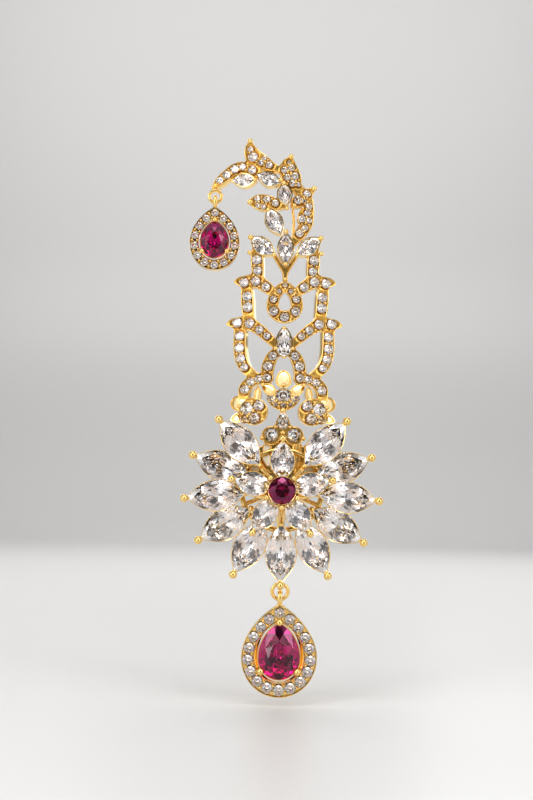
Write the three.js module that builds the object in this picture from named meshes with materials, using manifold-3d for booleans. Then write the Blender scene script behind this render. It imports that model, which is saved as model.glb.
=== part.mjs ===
// A sarpech, the jewel pinned to the front of a turban: an openwork crest and lattice of soldered metal
// with pavé stones, a two-tier flower of marquise stones round a red stone, and two pear drops on rings.
// Millimetres. The front faces -Y, +Z is up, X = 0 is the axis and Z = 0 the flower's centre, Y = 0 the pin.
import * as THREE from "three";
import { mergeVertices } from "three/addons/utils/BufferGeometryUtils.js";
import Module from "manifold-3d";

const wasm = await Module();
wasm.setup();

// ---- Driving dimensions --------------------------------------------------------------------------------
const BEND_RADIUS = 38; // the lattice and crest curve back from the axis like a turban's front
const FRAME = { front: -8, back: -5.8, clusterFront: -8.7, plateFront: -7.7 };
const SEAT_GAP = 0.2; // clearance round every stone that is a piece of its own
const RIM = 0.4; // metal that shows round a stone set in the frame
const PAVE = { sides: 8, table: 0.58, crown: 0.4, sunk: 0.08, depth: 0.5 };
const PEAR_POWER = 1.45; // how straight the upper sides of a pear run to its tip
const BEAD = { shoulder: 0.9, shoulderDepth: 0.3, neck: 0.7 }; // shares of a bead prong's radius
const BEAD_SIDES = 6;
const GEM_SIDES = 12;
const SMALL_GEM_SIDES = 8;
const HALO_SIDES = 16;
const LATHE_SIDES = 8;
const BAIL_SIDES = 10;
const FLOWER_RING = { wireSides: 5, sides: 14 };
const PLATE_SEGMENTS = 7;
const GIRDLE = 0.12; // thickness of a stone's edge
const TABLE_SHARE = 0.6;

const FLOWER = {
  girdle: -10.6, // depth of an outer stone's girdle at its middle
  lowered: 1.3, // how far the petals tucked under their neighbours sit back
  tilt: 8, // degrees that the tips lean back
  tipBead: 0.86,
  innerBead: 0.6,
  basketDepth: 2.3,
  tipGap: 0.1, // between a stone's tip and its bead
  ringRadius: 8.6,
  ringDepth: -8.6,
  ringWire: 0.6,
  spoke: 0.9,
};
const BASKET = {
  outerRim: 0.37, innerRim: 0.22, below: 0.25, overlap: 0.12, wall: 0.4,
  lengthShare: 0.72, widthShare: 0.68, // of the stone, at the basket's foot
};
const TUCKED_DEPTH = 0.8; // a basket behind its neighbours is this much shallower
const BEAD_ROOT = 0.3; // how far a tip bead's post reaches past its basket
const INNER_POST = { at: 3.6, radius: 0.55, sunk: 0.5 };
const HUB = {
  stem: 1.6, base: 4.4, baseThick: 1.1, baseSlope: 0.2, baseBehindRing: 0.5,
  cup: 0.75, cupDepth: 0.5, cupBack: 0.8, seat: 0.2, seatDepth: 0.6, culetDepth: 2.3,
  neck: 0.6, neckDepth: 1.05, stemDepth: 2.6,
};
const OUTER_STONE = { shape: "marquise", halfLength: 5.85, halfWidth: 3.3, crown: 1.25, pavilion: 2.8 };
const OUTER_PETALS = rows(["name", "angle", "bead", "lowered", "innerBead"], [
  ["upper", 47.4, 20.2, 0, 1],
  ["shoulder", 20.6, 20.5, 1, 1],
  ["side", -5.6, 20.9, 0, 1],
  ["low", -31.9, 20.9, 1, 1],
  ["lower", -60.9, 20.8, 0, 0],
  ["bottom", -90, 20.4, 0, 1],
]);
const INNER_STONE = { shape: "marquise", halfLength: 3.75, halfWidth: 2.6, crown: 0.95, pavilion: 2 };
const INNER = {
  girdle: -14.3, tilt: 10, middle: 6.3, bead: 10.92, beadRadius: 0.77, beadDepth: 1.3, basketDepth: 1.2,
};
const INNER_ANGLES = { top: 90, right: 12, lower_right: -56, lower_left: -124, left: 168 };
const RUBY = { shape: "round", halfLength: 2.85, halfWidth: 2.85, crown: 0.95, pavilion: 2 };
const RUBY_GIRDLE = -16.45;
const RUBY_BEADS = {
  angles: [46.4, 133.6, 205.4, 270, 334.6], radius: 3.55, bead: 0.6, proud: 0.3, depth: 1.4,
};
const SPOKE_ANGLES = [51, 129, 202, 270, 338];

// Each drop hangs by a bail through a ring, and swings about the ring's own axis, along Y.
const MAIN_DROP = {
  ring: { x: 0, y: -8, z: -21.8, radius: 1.7, wire: 0.4 },
  bail: { radius: 1.05, tall: 1.4, wire: 0.36, width: 1.07, below: 1.45 },
  halo: { halfWidth: 8.18, top: 11.6, bottom: 8.55, power: 1.8, wide: -36, depth: 2.2 },
  hole: { halfWidth: 5.26, top: 7.6, bottom: 5.3 },
  stone: { shape: "pear", halfWidth: 4.3, top: 7.3, bottom: 4.6, crown: 1.25, pavilion: 2.6, girdle: -0.9 },
  pave: { count: 18, small: 1.02, large: 1.16 },
  prongs: [{ x: 0, z: 7.6 }, { x: 3.95, z: -2.9 }, { x: -3.95, z: -2.9 }],
  prongBead: 0.84,
};
const CREST_DROP = {
  ring: { x: -15.44, y: -4.2, z: 63.5, radius: 1.32, wire: 0.375 },
  bail: { radius: 0.9, tall: 1.2, wire: 0.3, width: 0.85, below: 1.2 },
  halo: { halfWidth: 5.45, top: 7.8, bottom: 6, power: 1.7, wide: 53.4, depth: 2 },
  hole: { halfWidth: 3.4, top: 5, bottom: 3.7 },
  stone: { shape: "pear", halfWidth: 2.95, top: 4.5, bottom: 3.2, crown: 0.9, pavilion: 1.8, girdle: -0.8 },
  pave: { count: 14, small: 0.8, large: 0.84 },
  prongs: [{ x: 0, z: 4.9 }, { x: 2.7, z: -1.9 }, { x: -2.7, z: -1.9 }],
  prongBead: 0.6,
};
const DROP_RAIL = { below: 0.4, rim: 0.1, inside: 0.15, backOuter: 0.8, backInner: 1.3 };
const CLAW = { proud: 0.2, short: 0.1, arm: { x: 0.9, y: 0.7 }, reachShare: 0.55, inwards: 0.2 };
const PIN = {
  foot: { x: 4, y: 0.8, z: 4.4 }, footZ: 11.6, footGap: 0.3, arm: { x: 1.8, z: 2.2 },
  top: 14.4, bottom: -16, radius: 0.9, tip: 0.35, tipLength: 0.3, taper: 9,
};

// Strands of the lattice on the right, mirrored on the left: middle line and half width.
const STRANDS = {
  lowerWing: strand([
    [12.67, 35.5, 0.1], [11.5, 35.85, 0.85], [10.0, 35.85, 1.3], [7.6, 35.7, 1.4], [5.42, 34.4, 1.25],
    [3.76, 33.0, 1.15], [1.6, 30.9, 0.8],
  ]),
  outerStrand: strand([
    [9.7, 35.6, 1.3], [9.62, 33.06, 1.35], [9.65, 30.5, 1.4], [9.3, 28.2, 1.35], [8.3, 26.1, 1.2],
    [6.2, 24.3, 1.0],
  ]),
  ogive: strand([[0.9, 30.2, 0.7], [2.42, 28.8, 1.25], [3.4, 26.6, 1.4], [3.6, 23.8, 1.25]]),
  shoulder: strand([
    [3.2, 24.0, 1.0], [5.42, 23.8, 1.15], [7.1, 23.2, 1.2], [8.35, 21.7, 1.35], [8.6, 19.6, 1.1],
  ]),
  middleVertical: strand([[8.4, 44.3, 1.1], [8.2, 41.6, 1.35], [8.05, 39.3, 1.35], [7.7, 36.6, 1.2]]),
  upperWing: strand([
    [11.15, 44.66, 0.1], [10.1, 44.85, 0.8], [8.9, 44.8, 1.25], [6.4, 44.9, 1.4], [4.19, 43.7, 1.3],
    [2.0, 42.0, 0.9],
  ]),
  topVertical: strand([[6.0, 45.6, 1.3], [6.0, 47.6, 1.35], [6.15, 49.5, 1.4], [6.1, 52.0, 1.1]]),
  stemArm: strand([[2.1, 50.0, 0.45], [1.0, 48.2, 0.45], [0, 46.6, 0.5]]),
  sidePetal: strand([[1.9, 20.6, 0.9], [3.0, 21.55, 1.2], [4.45, 22.75, 0.15]]),
  tallPetal: strand([[5.5, 18.6, 0.95], [5.6, 20.6, 0.95], [5.6, 22.4, 0.15]]),
  roundLeaf: strand([[8.2, 18.0, 1.2], [9.5, 18.6, 1.7], [11.2, 19.3, 0.7]]),
  pointedLeaf: strand([[8.0, 16.0, 1.4], [9.7, 15.4, 1.1], [11.16, 14.8, 0.1]]),
};
const AXIS_STRANDS = {
  stem: strand([[0, 48.8, 0.5], [0, 44.6, 0.6]]),
  topPetal: strand([[0, 21.8, 1.5], [0, 23.7, 1.65], [0, 25.9, 0.1]]),
  shield: strand([[0, 21.7, 1.6], [0, 20.9, 3.1], [0, 19.8, 3.55], [0, 18.1, 2.1], [0, 16.8, 0.6]]),
  trefoil: strand([[0, 17.0, 0.45], [0, 15.4, 1.2], [0, 13.2, 2.2], [0, 10.9, 2.4]]),
};
const CREST_STRANDS = {
  rightStem: strand([
    [5.2, 62.4, 0.6], [4.75, 60.4, 1.3], [4.2, 58.6, 1.8], [4.4, 57.3, 1.4], [3.4, 55.6, 1.35],
    [1.4, 53.0, 0.8],
  ]),
  rightLeaf: strand([[1.4, 61.1, 0.6], [2.8, 62.3, 1.45], [4.42, 63.7, 1.2], [5.9, 64.85, 0.35]]),
  leftLeaf: strand([
    [-1.2, 61.2, 1.0], [-2.7, 61.5, 1.35], [-4.6, 61.7, 1.8], [-6.3, 61.9, 1.5], [-7.79, 61.83, 0.45],
  ]),
  upperRightLeaf: strand([
    [0.85, 71.53, 0.35], [0.05, 69.3, 1.75], [0.8, 67.1, 1.95], [1.5, 65.6, 1.35], [3.3, 64.1, 0.9],
  ]),
  topLeaf: strand([
    [-8.01, 74.93, 0.35], [-8.0, 73.2, 1.3], [-7.2, 71.6, 1.8], [-5.4, 70.6, 1.55], [-3.7, 69.7, 1.15],
    [-1.2, 68.9, 0.9],
  ]),
  crescent: strand([
    [-16.0, 65.45, 0.45], [-14.53, 66.87, 1.05], [-13.0, 68.0, 1.2], [-11.3, 69.1, 1.3], [-9.5, 69.4, 1.3],
    [-7.5, 68.7, 1.3], [-5.6, 67.9, 1.0],
  ]),
};
const BRACE = strand([[1.5, 60.4, 0.35], [1.75, 57.6, 0.3], [1.6, 54.2, 0.35]]);
const LOOP = {
  z: 39.5,
  outer: { halfWidth: 3.97, top: 5.4, bottom: 3.65 },
  hole: { halfWidth: 1.4, top: 3, bottom: 1.1 },
};
const HALF_PLATE = { radius: 10.4, below: 0.06 }; // behind the flower; below is its angle past the level
const BRACE_DEPTH = 0.8;
const FRAME_BEAD = { proud: 0.5, depth: 1.2 };
const FRAME_STONE = { sunk: 0.35, crownShare: 0.36, crownLeast: 0.1, pavilionShare: 0.75 };
const NARROWEST = 0.08; // half width of a strand at its thinnest
const DISCS = rows(["x", "z", "radius", "front"], [
  [6.23, 16.8, 3.0, FRAME.clusterFront], // side cluster's base
  [2.42, 11.6, 2.08, FRAME.clusterFront], // trefoil's lobe
]);

// Pavé stones fused to the metal: place and girdle radius.
const PAVE_SIDES = pave([
  [10.25, 35.9, 1.0], [7.57, 35.7, 1.07], [5.42, 34.4, 0.92], [3.76, 33.1, 0.8],
  [9.66, 33.06, 1.05], [9.7, 30.5, 1.07], [9.34, 28.2, 1.0], [8.53, 26.3, 0.8],
  [2.42, 28.8, 0.95], [3.44, 26.6, 1.05], [3.6, 24.1, 0.93],
  [5.7, 23.8, 0.85], [7.4, 23.0, 0.85], [8.4, 21.3, 0.95],
  [8.16, 41.6, 1.07], [8.05, 39.3, 1.07],
  [8.9, 44.6, 1.0], [6.39, 44.9, 1.07], [4.19, 43.7, 1.0], [6.2, 49.5, 1.1], [6.0, 47.2, 0.9],
  [2.47, 41.0, 0.8], [2.42, 38.4, 1.0], [2.5, 19.5, 1.0],
]);
const PAVE_CLUSTER = pave([[5.15, 18.1, 1.1], [6.0, 15.35, 1.1], [8.3, 15.05, 0.82]]);
const PAVE_AXIS = pave([[0, 37.1, 0.95], [0, 43.6, 0.6]]);
const PAVE_CREST = pave([
  [4.89, 61.1, 0.75], [4.59, 59.6, 0.7], [3.43, 58.4, 0.85], [4.11, 56.4, 0.75], [2.95, 55.0, 0.75],
  [4.42, 63.7, 0.8], [2.7, 62.4, 0.95],
  [-6.3, 62.3, 0.75], [-4.4, 62.4, 0.85], [-2.5, 61.6, 0.8],
  [-0.3, 68.5, 0.65], [0.75, 69.8, 0.7], [0.07, 67.0, 0.77], [1.6, 67.3, 0.7], [1.3, 65.6, 0.7],
  [-7.95, 73.2, 0.6], [-7.3, 71.6, 0.95], [-5.4, 70.6, 0.8], [-3.7, 69.8, 0.78],
  [-14.53, 66.87, 0.75], [-13.0, 68.0, 0.86], [-11.3, 69.2, 0.88], [-9.5, 69.5, 0.8], [-7.6, 68.8, 0.95],
]);
// Larger beads on the frame; one with side = 1 is repeated on the left.
const FRAME_BEADS = rows(["x", "z", "radius", "side"], [
  [7.62, 50.9, 0.54, 1], [7.46, 54.2, 0.6, 1], [2.4, 50.4, 0.52, 1],
  [0, 17.07, 0.65, 0], [0, 55.4, 0.54, 0], [0, 48.4, 0.5, 0],
  [5.9, 64.85, 0.64, 0], [-7.79, 61.83, 0.64, 0],
  [0.85, 71.53, 0.6, 0], [-8.01, 74.93, 0.58, 0], [-1.1, 66.1, 0.54, 0],
]);
// Stones of the frame that are pieces of their own. turn is the polar angle of a stone's long axis.
const STONES = rows(["name", "shape", "x", "z", "halfLength", "halfWidth", "turn", "side"], [
  ["trio_centre_stone", "marquise", 0, 51.9, 3.15, 1.55, 90, 0],
  ["trio_stone", "marquise", 5.0, 52.35, 2.95, 1.6, 37, 1],
  ["crest_stone_low", "marquise", -2.57, 57.6, 2.9, 1.7, -64, 0],
  ["crest_stone_middle", "marquise", -0.41, 63.5, 2.2, 1.4, -80, 0],
  ["crest_stone_upper", "marquise", -3.9, 66.75, 2.5, 1.4, -21, 0],
  ["crest_stone_left", "marquise", -9.27, 66.6, 2.35, 1.3, 0, 0],
  ["lattice_pear", "pear", 0, 31.3, 3.0, 1.6, 90, 0],
  ["crown_round", "round", 0, 20.25, 1.58, 1.58, 90, 0],
  ["cluster_round", "round", 7.7, 17.4, 1.36, 1.36, 90, 1],
  ["trefoil_pear", "pear", 0, 14.45, 1.85, 1.35, 90, 0],
  ["trefoil_round", "round", 2.42, 11.8, 1.43, 1.43, 90, 1],
]);

// ---- Tables and outlines -------------------------------------------------------------------------------
function rows(columns, table) {
  return table.map((row) => Object.fromEntries(row.map((value, i) => [columns[i], value])));
}

function strand(table) {
  return rows(["x", "z", "half"], table);
}

function pave(table) {
  return rows(["x", "z", "radius"], table);
}

// Right side rows with their mirror images.
function bothSides(table) {
  return table.flatMap((row) => [row, { ...row, x: -row.x, turn: 180 - (row.turn ?? 90), mirrored: true }]);
}

// Rows of which only those with a side are repeated on the left.
function withSides(table) {
  return table.flatMap((row) => (row.side ? bothSides([row]) : [row]));
}

// Stone and halo outlines as points of the XZ plane, anticlockwise seen from the front, tip towards +Z.
function outline(spec, grow = 0, sides = GEM_SIDES, shift = 0) {
  const width = spec.halfWidth + grow;
  const points = [];
  for (let i = 0; i < sides; i++) {
    const angle = ((i + shift) / sides) * 2 * Math.PI;
    const [c, s] = [Math.cos(angle), Math.sin(angle)];
    if (spec.shape === "marquise") {
      points.push([width * Math.sign(c) * c * c, (spec.halfLength + grow * 1.4) * s]);
    } else if (spec.shape === "round") {
      points.push([width * c, width * s]);
    } else {
      const top = (spec.top ?? spec.halfLength * 1.15) + grow * 1.2;
      const bottom = (spec.bottom ?? spec.halfLength * 0.85) + grow;
      const x = s > 0 ? Math.sign(c) * Math.abs(c) ** (spec.power ?? PEAR_POWER) : c;
      points.push([width * x, (s > 0 ? top : bottom) * s]);
    }
  }
  return points;
}

const ringAt = (points, y, scale = 1) => points.map(([x, z]) => new THREE.Vector3(x * scale, y, z * scale));

// Points spaced evenly along a closed outline, starting at its top.
function spaced(points, count) {
  const curve = new THREE.CatmullRomCurve3(ringAt(points, 0), true, "chordal");
  return curve.getSpacedPoints(count).slice(0, count);
}

// ---- Solids --------------------------------------------------------------------------------------------
function solid(geometry) {
  const bare = geometry.index ? geometry.toNonIndexed() : geometry.clone();
  bare.deleteAttribute("normal");
  bare.deleteAttribute("uv");
  const merged = mergeVertices(bare, 1e-4);
  const vertProperties = new Float32Array(merged.attributes.position.array);
  const triVerts = new Uint32Array(merged.index.array);
  const made = new wasm.Manifold(new wasm.Mesh({ numProp: 3, vertProperties, triVerts }));
  if (made.volume() > 0) return made;
  return new wasm.Manifold(new wasm.Mesh({ numProp: 3, vertProperties, triVerts: triVerts.reverse() }));
}

function union(solids) {
  let joined = solids;
  while (joined.length > 1) {
    const pairs = [];
    for (let i = 0; i < joined.length; i += 2) {
      pairs.push(joined[i + 1] ? joined[i].add(joined[i + 1]) : joined[i]);
    }
    joined = pairs;
  }
  return joined[0];
}

// The largest body of a solid: cutting pockets can leave crumbs of metal.
function largest(made, name) {
  const bodies = made.decompose().sort((a, b) => b.volume() - a.volume());
  if (bodies.length > 1) {
    const volumes = bodies.slice(1).map((b) => {
      const box = b.boundingBox();
      return `${b.volume().toFixed(3)} at ${box.min.map((v) => v.toFixed(1))}`;
    });
    console.log(name, "drops", volumes.join("; "));
  }
  return bodies[0];
}

// A closed surface through rings of equal length, capped at both ends, or run round on itself. The last ring
// may be a single point.
function loft(rings, cyclic = false) {
  const sides = rings[0].length;
  const triangles = [];
  const last = cyclic ? rings.length : rings.length - 1;
  for (let i = 0; i < last; i++) {
    const [low, high] = [rings[i], rings[(i + 1) % rings.length]];
    for (let k = 0; k < sides; k++) {
      const next = (k + 1) % sides;
      if (high.length === 1) {
        triangles.push(low[k], low[next], high[0]);
      } else {
        triangles.push(low[k], low[next], high[k], low[next], high[next], high[k]);
      }
    }
  }
  const end = rings[rings.length - 1];
  for (let k = 1; !cyclic && k < sides - 1; k++) {
    triangles.push(rings[0][0], rings[0][k + 1], rings[0][k]);
    if (end.length > 1) triangles.push(end[0], end[k], end[k + 1]);
  }
  return new THREE.BufferGeometry().setFromPoints(triangles);
}

// A cut stone: table towards -Y, girdle at y = 0, pavilion running to a point behind.
function gem(spec, grow = 0, sides = GEM_SIDES) {
  const girdleLine = outline(spec, grow, sides);
  return solid(loft([
    ringAt(outline(spec, grow, sides, 0.5), -spec.crown - grow, TABLE_SHARE),
    ringAt(girdleLine, -grow / 2),
    ringAt(girdleLine, GIRDLE + grow / 2),
    [new THREE.Vector3(0, spec.pavilion + grow, 0)],
  ]));
}

// A bead prong: a round head towards -Y on a post that reaches back by depth.
function prong(radius, depth) {
  const profile = [
    [0, -radius],
    [BEAD.shoulder * radius, -BEAD.shoulderDepth * radius],
    [BEAD.neck * radius, depth],
    [0, depth],
  ];
  return solid(new THREE.LatheGeometry(profile.map(([r, y]) => new THREE.Vector2(r, y)), BEAD_SIDES));
}

function paveStone(radius) {
  const table = -PAVE.crown * radius;
  const profile = [[0, table], [PAVE.table * radius, table], [radius, PAVE.sunk], [0, PAVE.depth]];
  return solid(new THREE.LatheGeometry(profile.map(([r, y]) => new THREE.Vector2(r, y)), PAVE.sides));
}

// Rolls a flat-made solid back towards its sides, square to the curve of the frame's front.
function bent(made) {
  const { vertProperties, triVerts } = made.getMesh();
  for (let i = 0; i < vertProperties.length; i += 3) {
    const [x, y] = [vertProperties[i], vertProperties[i + 1]];
    const behind = y - FRAME.front;
    const [sine, cosine] = [x / BEND_RADIUS, Math.sqrt(1 - (x / BEND_RADIUS) ** 2)];
    vertProperties[i] = x - behind * sine;
    vertProperties[i + 1] = FRAME.front + BEND_RADIUS * (1 - cosine) + behind * cosine;
  }
  return new wasm.Manifold(new wasm.Mesh({ numProp: 3, vertProperties, triVerts }));
}

// Extrudes an outline of the XZ plane from front to back.
function plate(shape, front = FRAME.front, back = FRAME.back) {
  const settings = { depth: back - front, bevelEnabled: false, curveSegments: PLATE_SEGMENTS };
  const geometry = new THREE.ExtrudeGeometry(shape, settings);
  return solid(geometry.rotateX(Math.PI / 2).translate(0, back, 0));
}

// The outline of a strand: its middle line smoothed, with half its width on either side.
function strandShape(table) {
  const middle = new THREE.CatmullRomCurve3(table.map((row) => new THREE.Vector3(row.x, row.z, row.half)));
  const points = middle.getPoints(table.length);
  const left = [];
  const right = [];
  points.forEach((point, i) => {
    const [before, after] = [points[Math.max(i - 1, 0)], points[Math.min(i + 1, points.length - 1)]];
    const normal = new THREE.Vector2(after.y - before.y, before.x - after.x).normalize();
    const half = Math.max(point.z, NARROWEST);
    left.push(new THREE.Vector2(point.x - normal.x * half, point.y - normal.y * half));
    right.unshift(new THREE.Vector2(point.x + normal.x * half, point.y + normal.y * half));
  });
  return new THREE.Shape([...left, ...right]);
}

function mirroredStrand(table) {
  return table.map((row) => ({ ...row, x: -row.x }));
}

// The matrix that sets a piece on the flat frame, turned in its plane by a polar angle.
function onFrame(x, z, y = FRAME.front, turn = 90) {
  return new THREE.Matrix4()
    .makeTranslation(x, y, z)
    .multiply(new THREE.Matrix4().makeRotationY(THREE.MathUtils.degToRad(90 - turn)));
}

const moved = (made, matrix) => made.transform(matrix.elements);

// ---- The frame -----------------------------------------------------------------------------------------
const CLUSTER_STONES = ["cluster_round", "trefoil_pear", "trefoil_round", "crown_round"];
const frameStones = withSides(STONES).map((row) => {
  const suffix = row.side ? (row.mirrored ? "_left" : "_right") : "";
  const front = CLUSTER_STONES.includes(row.name) ? FRAME.clusterFront : FRAME.front;
  const crown = FRAME_STONE.crownShare * row.halfWidth + FRAME_STONE.crownLeast;
  const spec = { ...row, crown, pavilion: FRAME_STONE.pavilionShare * row.halfWidth };
  const matrix = onFrame(row.x, row.z, front - FRAME_STONE.sunk, row.turn);
  return { name: row.name + suffix, spec, matrix, row, front };
});

// The metal cup that a stone of the frame sits in.
function stoneCup({ spec, row, front }) {
  const wall = outline(spec, RIM, SMALL_GEM_SIDES);
  const cup = solid(loft([ringAt(wall, 0), ringAt(wall, FRAME.back - front)]));
  return moved(cup, onFrame(row.x, row.z, front, row.turn));
}

function pavedOn(table, front = FRAME.front) {
  return table.map((row) => moved(paveStone(row.radius), onFrame(row.x, row.z, front)));
}

function ringSolid({ x, y, z, radius, wire }) {
  const ring = new THREE.TorusGeometry(radius, wire, BEAD_SIDES, GEM_SIDES);
  return solid(ring.rotateX(Math.PI / 2).translate(x, y, z));
}

function loopSolid() {
  const toShape = (spec) => {
    const line = outline({ shape: "pear", ...spec }, 0, HALO_SIDES);
    return line.map(([x, z]) => new THREE.Vector2(x, z + LOOP.z));
  };
  const shape = new THREE.Shape(toShape(LOOP.outer));
  shape.holes.push(new THREE.Path(toShape(LOOP.hole)));
  return plate(shape);
}

function discShape(x, z, radius, from = 0, to = 2 * Math.PI) {
  return new THREE.Shape().absarc(x, z, radius, from, to, false);
}

function frameSolid() {
  const strandPlate = (table, front) => plate(strandShape(table), front);
  const metal = [
    ...Object.values(STRANDS).flatMap((table) => [strandPlate(table), strandPlate(mirroredStrand(table))]),
    ...["stem", "topPetal", "shield"].map((name) => strandPlate(AXIS_STRANDS[name])),
    strandPlate(AXIS_STRANDS.trefoil, FRAME.clusterFront),
    ...Object.values(CREST_STRANDS).map((table) => strandPlate(table)),
    plate(strandShape(BRACE), FRAME.back - BRACE_DEPTH),
    loopSolid(),
    ...bothSides(DISCS).map((disc) => plate(discShape(disc.x, disc.z, disc.radius), disc.front)),
    ...frameStones.map(stoneCup),
    ...pavedOn(bothSides(PAVE_SIDES)),
    ...pavedOn(bothSides(PAVE_CLUSTER), FRAME.clusterFront),
    ...pavedOn(PAVE_AXIS),
    ...pavedOn(PAVE_CREST),
    ...withSides(FRAME_BEADS).map((row) =>
      moved(prong(row.radius, FRAME_BEAD.depth), onFrame(row.x, row.z, FRAME.front - FRAME_BEAD.proud)),
    ),
  ];
  const pockets = frameStones.map(({ spec, matrix }) => moved(gem(spec, SEAT_GAP, SMALL_GEM_SIDES), matrix));
  const openwork = bent(union(metal).subtract(union(pockets)));
  const halfDisc = discShape(0, 0, HALF_PLATE.radius, -HALF_PLATE.below, Math.PI + HALF_PLATE.below);
  const backPlate = plate(halfDisc, FRAME.plateFront);
  return largest(union([openwork, backPlate, ringSolid(CREST_DROP.ring)]), "frame");
}

// ---- The flower ----------------------------------------------------------------------------------------
// Sets a piece made round the origin at a radius and polar angle about the flower's centre, tip outwards.
function onFlower(angle, radius, depth, tilt) {
  return new THREE.Matrix4()
    .makeRotationY(THREE.MathUtils.degToRad(90 - angle))
    .multiply(new THREE.Matrix4().makeTranslation(0, depth, radius))
    .multiply(new THREE.Matrix4().makeRotationX(THREE.MathUtils.degToRad(-tilt)));
}

const outerPetals = OUTER_PETALS.flatMap((row) => {
  const one = { ...row, name: `petal_${row.name}` };
  if (row.angle === -90) return [one];
  return [
    { ...one, name: `${one.name}_right` },
    { ...one, name: `${one.name}_left`, angle: 180 - row.angle },
  ];
}).map((row) => {
  const middle = row.bead - FLOWER.tipBead - FLOWER.tipGap - OUTER_STONE.halfLength;
  const depth = FLOWER.girdle + row.lowered * FLOWER.lowered;
  const matrix = onFlower(row.angle, middle, depth, FLOWER.tilt);
  return { ...row, spec: OUTER_STONE, sides: GEM_SIDES, middle, matrix };
});
const innerPetals = Object.entries(INNER_ANGLES).map(([name, angle]) => ({
  name: `inner_petal_${name}`,
  angle,
  spec: INNER_STONE,
  sides: SMALL_GEM_SIDES,
  matrix: onFlower(angle, INNER.middle, INNER.girdle, INNER.tilt),
}));
const rubyRound = { name: "ruby_round", spec: RUBY, matrix: onFlower(90, 0, RUBY_GIRDLE, 0) };

// An open basket that narrows behind its stone.
function basket(spec, rim, depth, sides = GEM_SIDES) {
  const narrow = {
    ...spec,
    halfLength: spec.halfLength * BASKET.lengthShare,
    halfWidth: spec.halfWidth * BASKET.widthShare,
  };
  const front = GIRDLE + BASKET.below;
  return solid(loft([
    ringAt(outline(spec, rim, sides), front),
    ringAt(outline(narrow, rim, sides), depth),
    ringAt(outline(narrow, -BASKET.wall, sides), depth),
    ringAt(outline(spec, -BASKET.overlap, sides), front),
  ], true));
}

// A prong on a petal, at a place along the petal's long axis, its head half above the girdle.
function petalProng(radius, depth, along, matrix) {
  const place = new THREE.Matrix4().makeTranslation(0, -radius / 2, along);
  return moved(moved(prong(radius, depth), place), matrix);
}

function flowerSolid() {
  const petalMetal = outerPetals.flatMap((petal) => {
    const depth = FLOWER.basketDepth - TUCKED_DEPTH * petal.lowered;
    const made = [
      moved(basket(OUTER_STONE, BASKET.outerRim, depth), petal.matrix),
      petalProng(FLOWER.tipBead, depth + BEAD_ROOT, petal.bead - petal.middle, petal.matrix),
    ];
    const inner = -OUTER_STONE.halfLength - FLOWER.innerBead - FLOWER.tipGap;
    if (petal.innerBead) made.push(petalProng(FLOWER.innerBead, depth, inner, petal.matrix));
    return made;
  });
  const innerMetal = innerPetals.flatMap((petal) => [
    moved(basket(INNER_STONE, BASKET.innerRim, INNER.basketDepth, SMALL_GEM_SIDES), petal.matrix),
    petalProng(INNER.beadRadius, INNER.beadDepth, INNER.bead - INNER.middle, petal.matrix),
    post(petal.angle),
  ]);
  const rubyMetal = [
    hub(),
    ...RUBY_BEADS.angles.map((angle) => {
      const place = onFlower(angle, RUBY_BEADS.radius, RUBY_GIRDLE - RUBY_BEADS.proud, 0);
      return moved(prong(RUBY_BEADS.bead, RUBY_BEADS.depth), place);
    }),
  ];
  const spokes = SPOKE_ANGLES.map((angle) => {
    const bar = new THREE.BoxGeometry(FLOWER.spoke, FLOWER.spoke, FLOWER.ringRadius);
    return moved(solid(bar), onFlower(angle, FLOWER.ringRadius / 2, FLOWER.ringDepth, 0));
  });
  const { wireSides, sides } = FLOWER_RING;
  const ring = new THREE.TorusGeometry(FLOWER.ringRadius, FLOWER.ringWire, wireSides, sides);
  const metal = [
    ...petalMetal,
    ...innerMetal,
    ...rubyMetal,
    ...spokes,
    solid(ring.rotateX(Math.PI / 2).translate(0, FLOWER.ringDepth, 0)),
    ringSolid(MAIN_DROP.ring),
  ];
  const tucked = outerPetals.filter((petal) => petal.lowered);
  const pockets = tucked.map(({ spec, matrix }) => moved(gem(spec, SEAT_GAP), matrix));
  return largest(union(metal).subtract(union(pockets)), "flower");
}

// The round post that carries an inner petal on the ring's spokes.
function post(angle) {
  const [front, back] = [INNER.girdle + INNER_POST.sunk, FLOWER.ringDepth];
  const cylinder = new THREE.CylinderGeometry(INNER_POST.radius, INNER_POST.radius, back - front, BEAD_SIDES);
  return moved(solid(cylinder), onFlower(angle, INNER_POST.at, (front + back) / 2, 0));
}

// The cup under the round stone, its stem, and the round base that carries the inner petals.
function hub() {
  const cup = RUBY.halfWidth + HUB.cup;
  const back = FLOWER.ringDepth + HUB.baseBehindRing;
  const profile = [
    [0, RUBY_GIRDLE + HUB.culetDepth],
    [RUBY.halfWidth - HUB.seat, RUBY_GIRDLE + HUB.seatDepth],
    [cup, RUBY_GIRDLE + HUB.cupDepth],
    [cup, RUBY_GIRDLE + HUB.cupBack],
    [HUB.stem + HUB.neck, RUBY_GIRDLE + HUB.neckDepth],
    [HUB.stem, RUBY_GIRDLE + HUB.stemDepth],
    [HUB.stem, back - HUB.baseThick - HUB.baseSlope],
    [HUB.base, back - HUB.baseThick],
    [HUB.base, back],
    [0, back],
  ];
  return solid(new THREE.LatheGeometry(profile.map(([r, y]) => new THREE.Vector2(r, y)), LATHE_SIDES));
}

// ---- The drops -----------------------------------------------------------------------------------------
function dropPlace(drop) {
  return new THREE.Matrix4().makeTranslation(drop.ring.x, drop.ring.y, drop.halo.wide);
}

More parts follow.
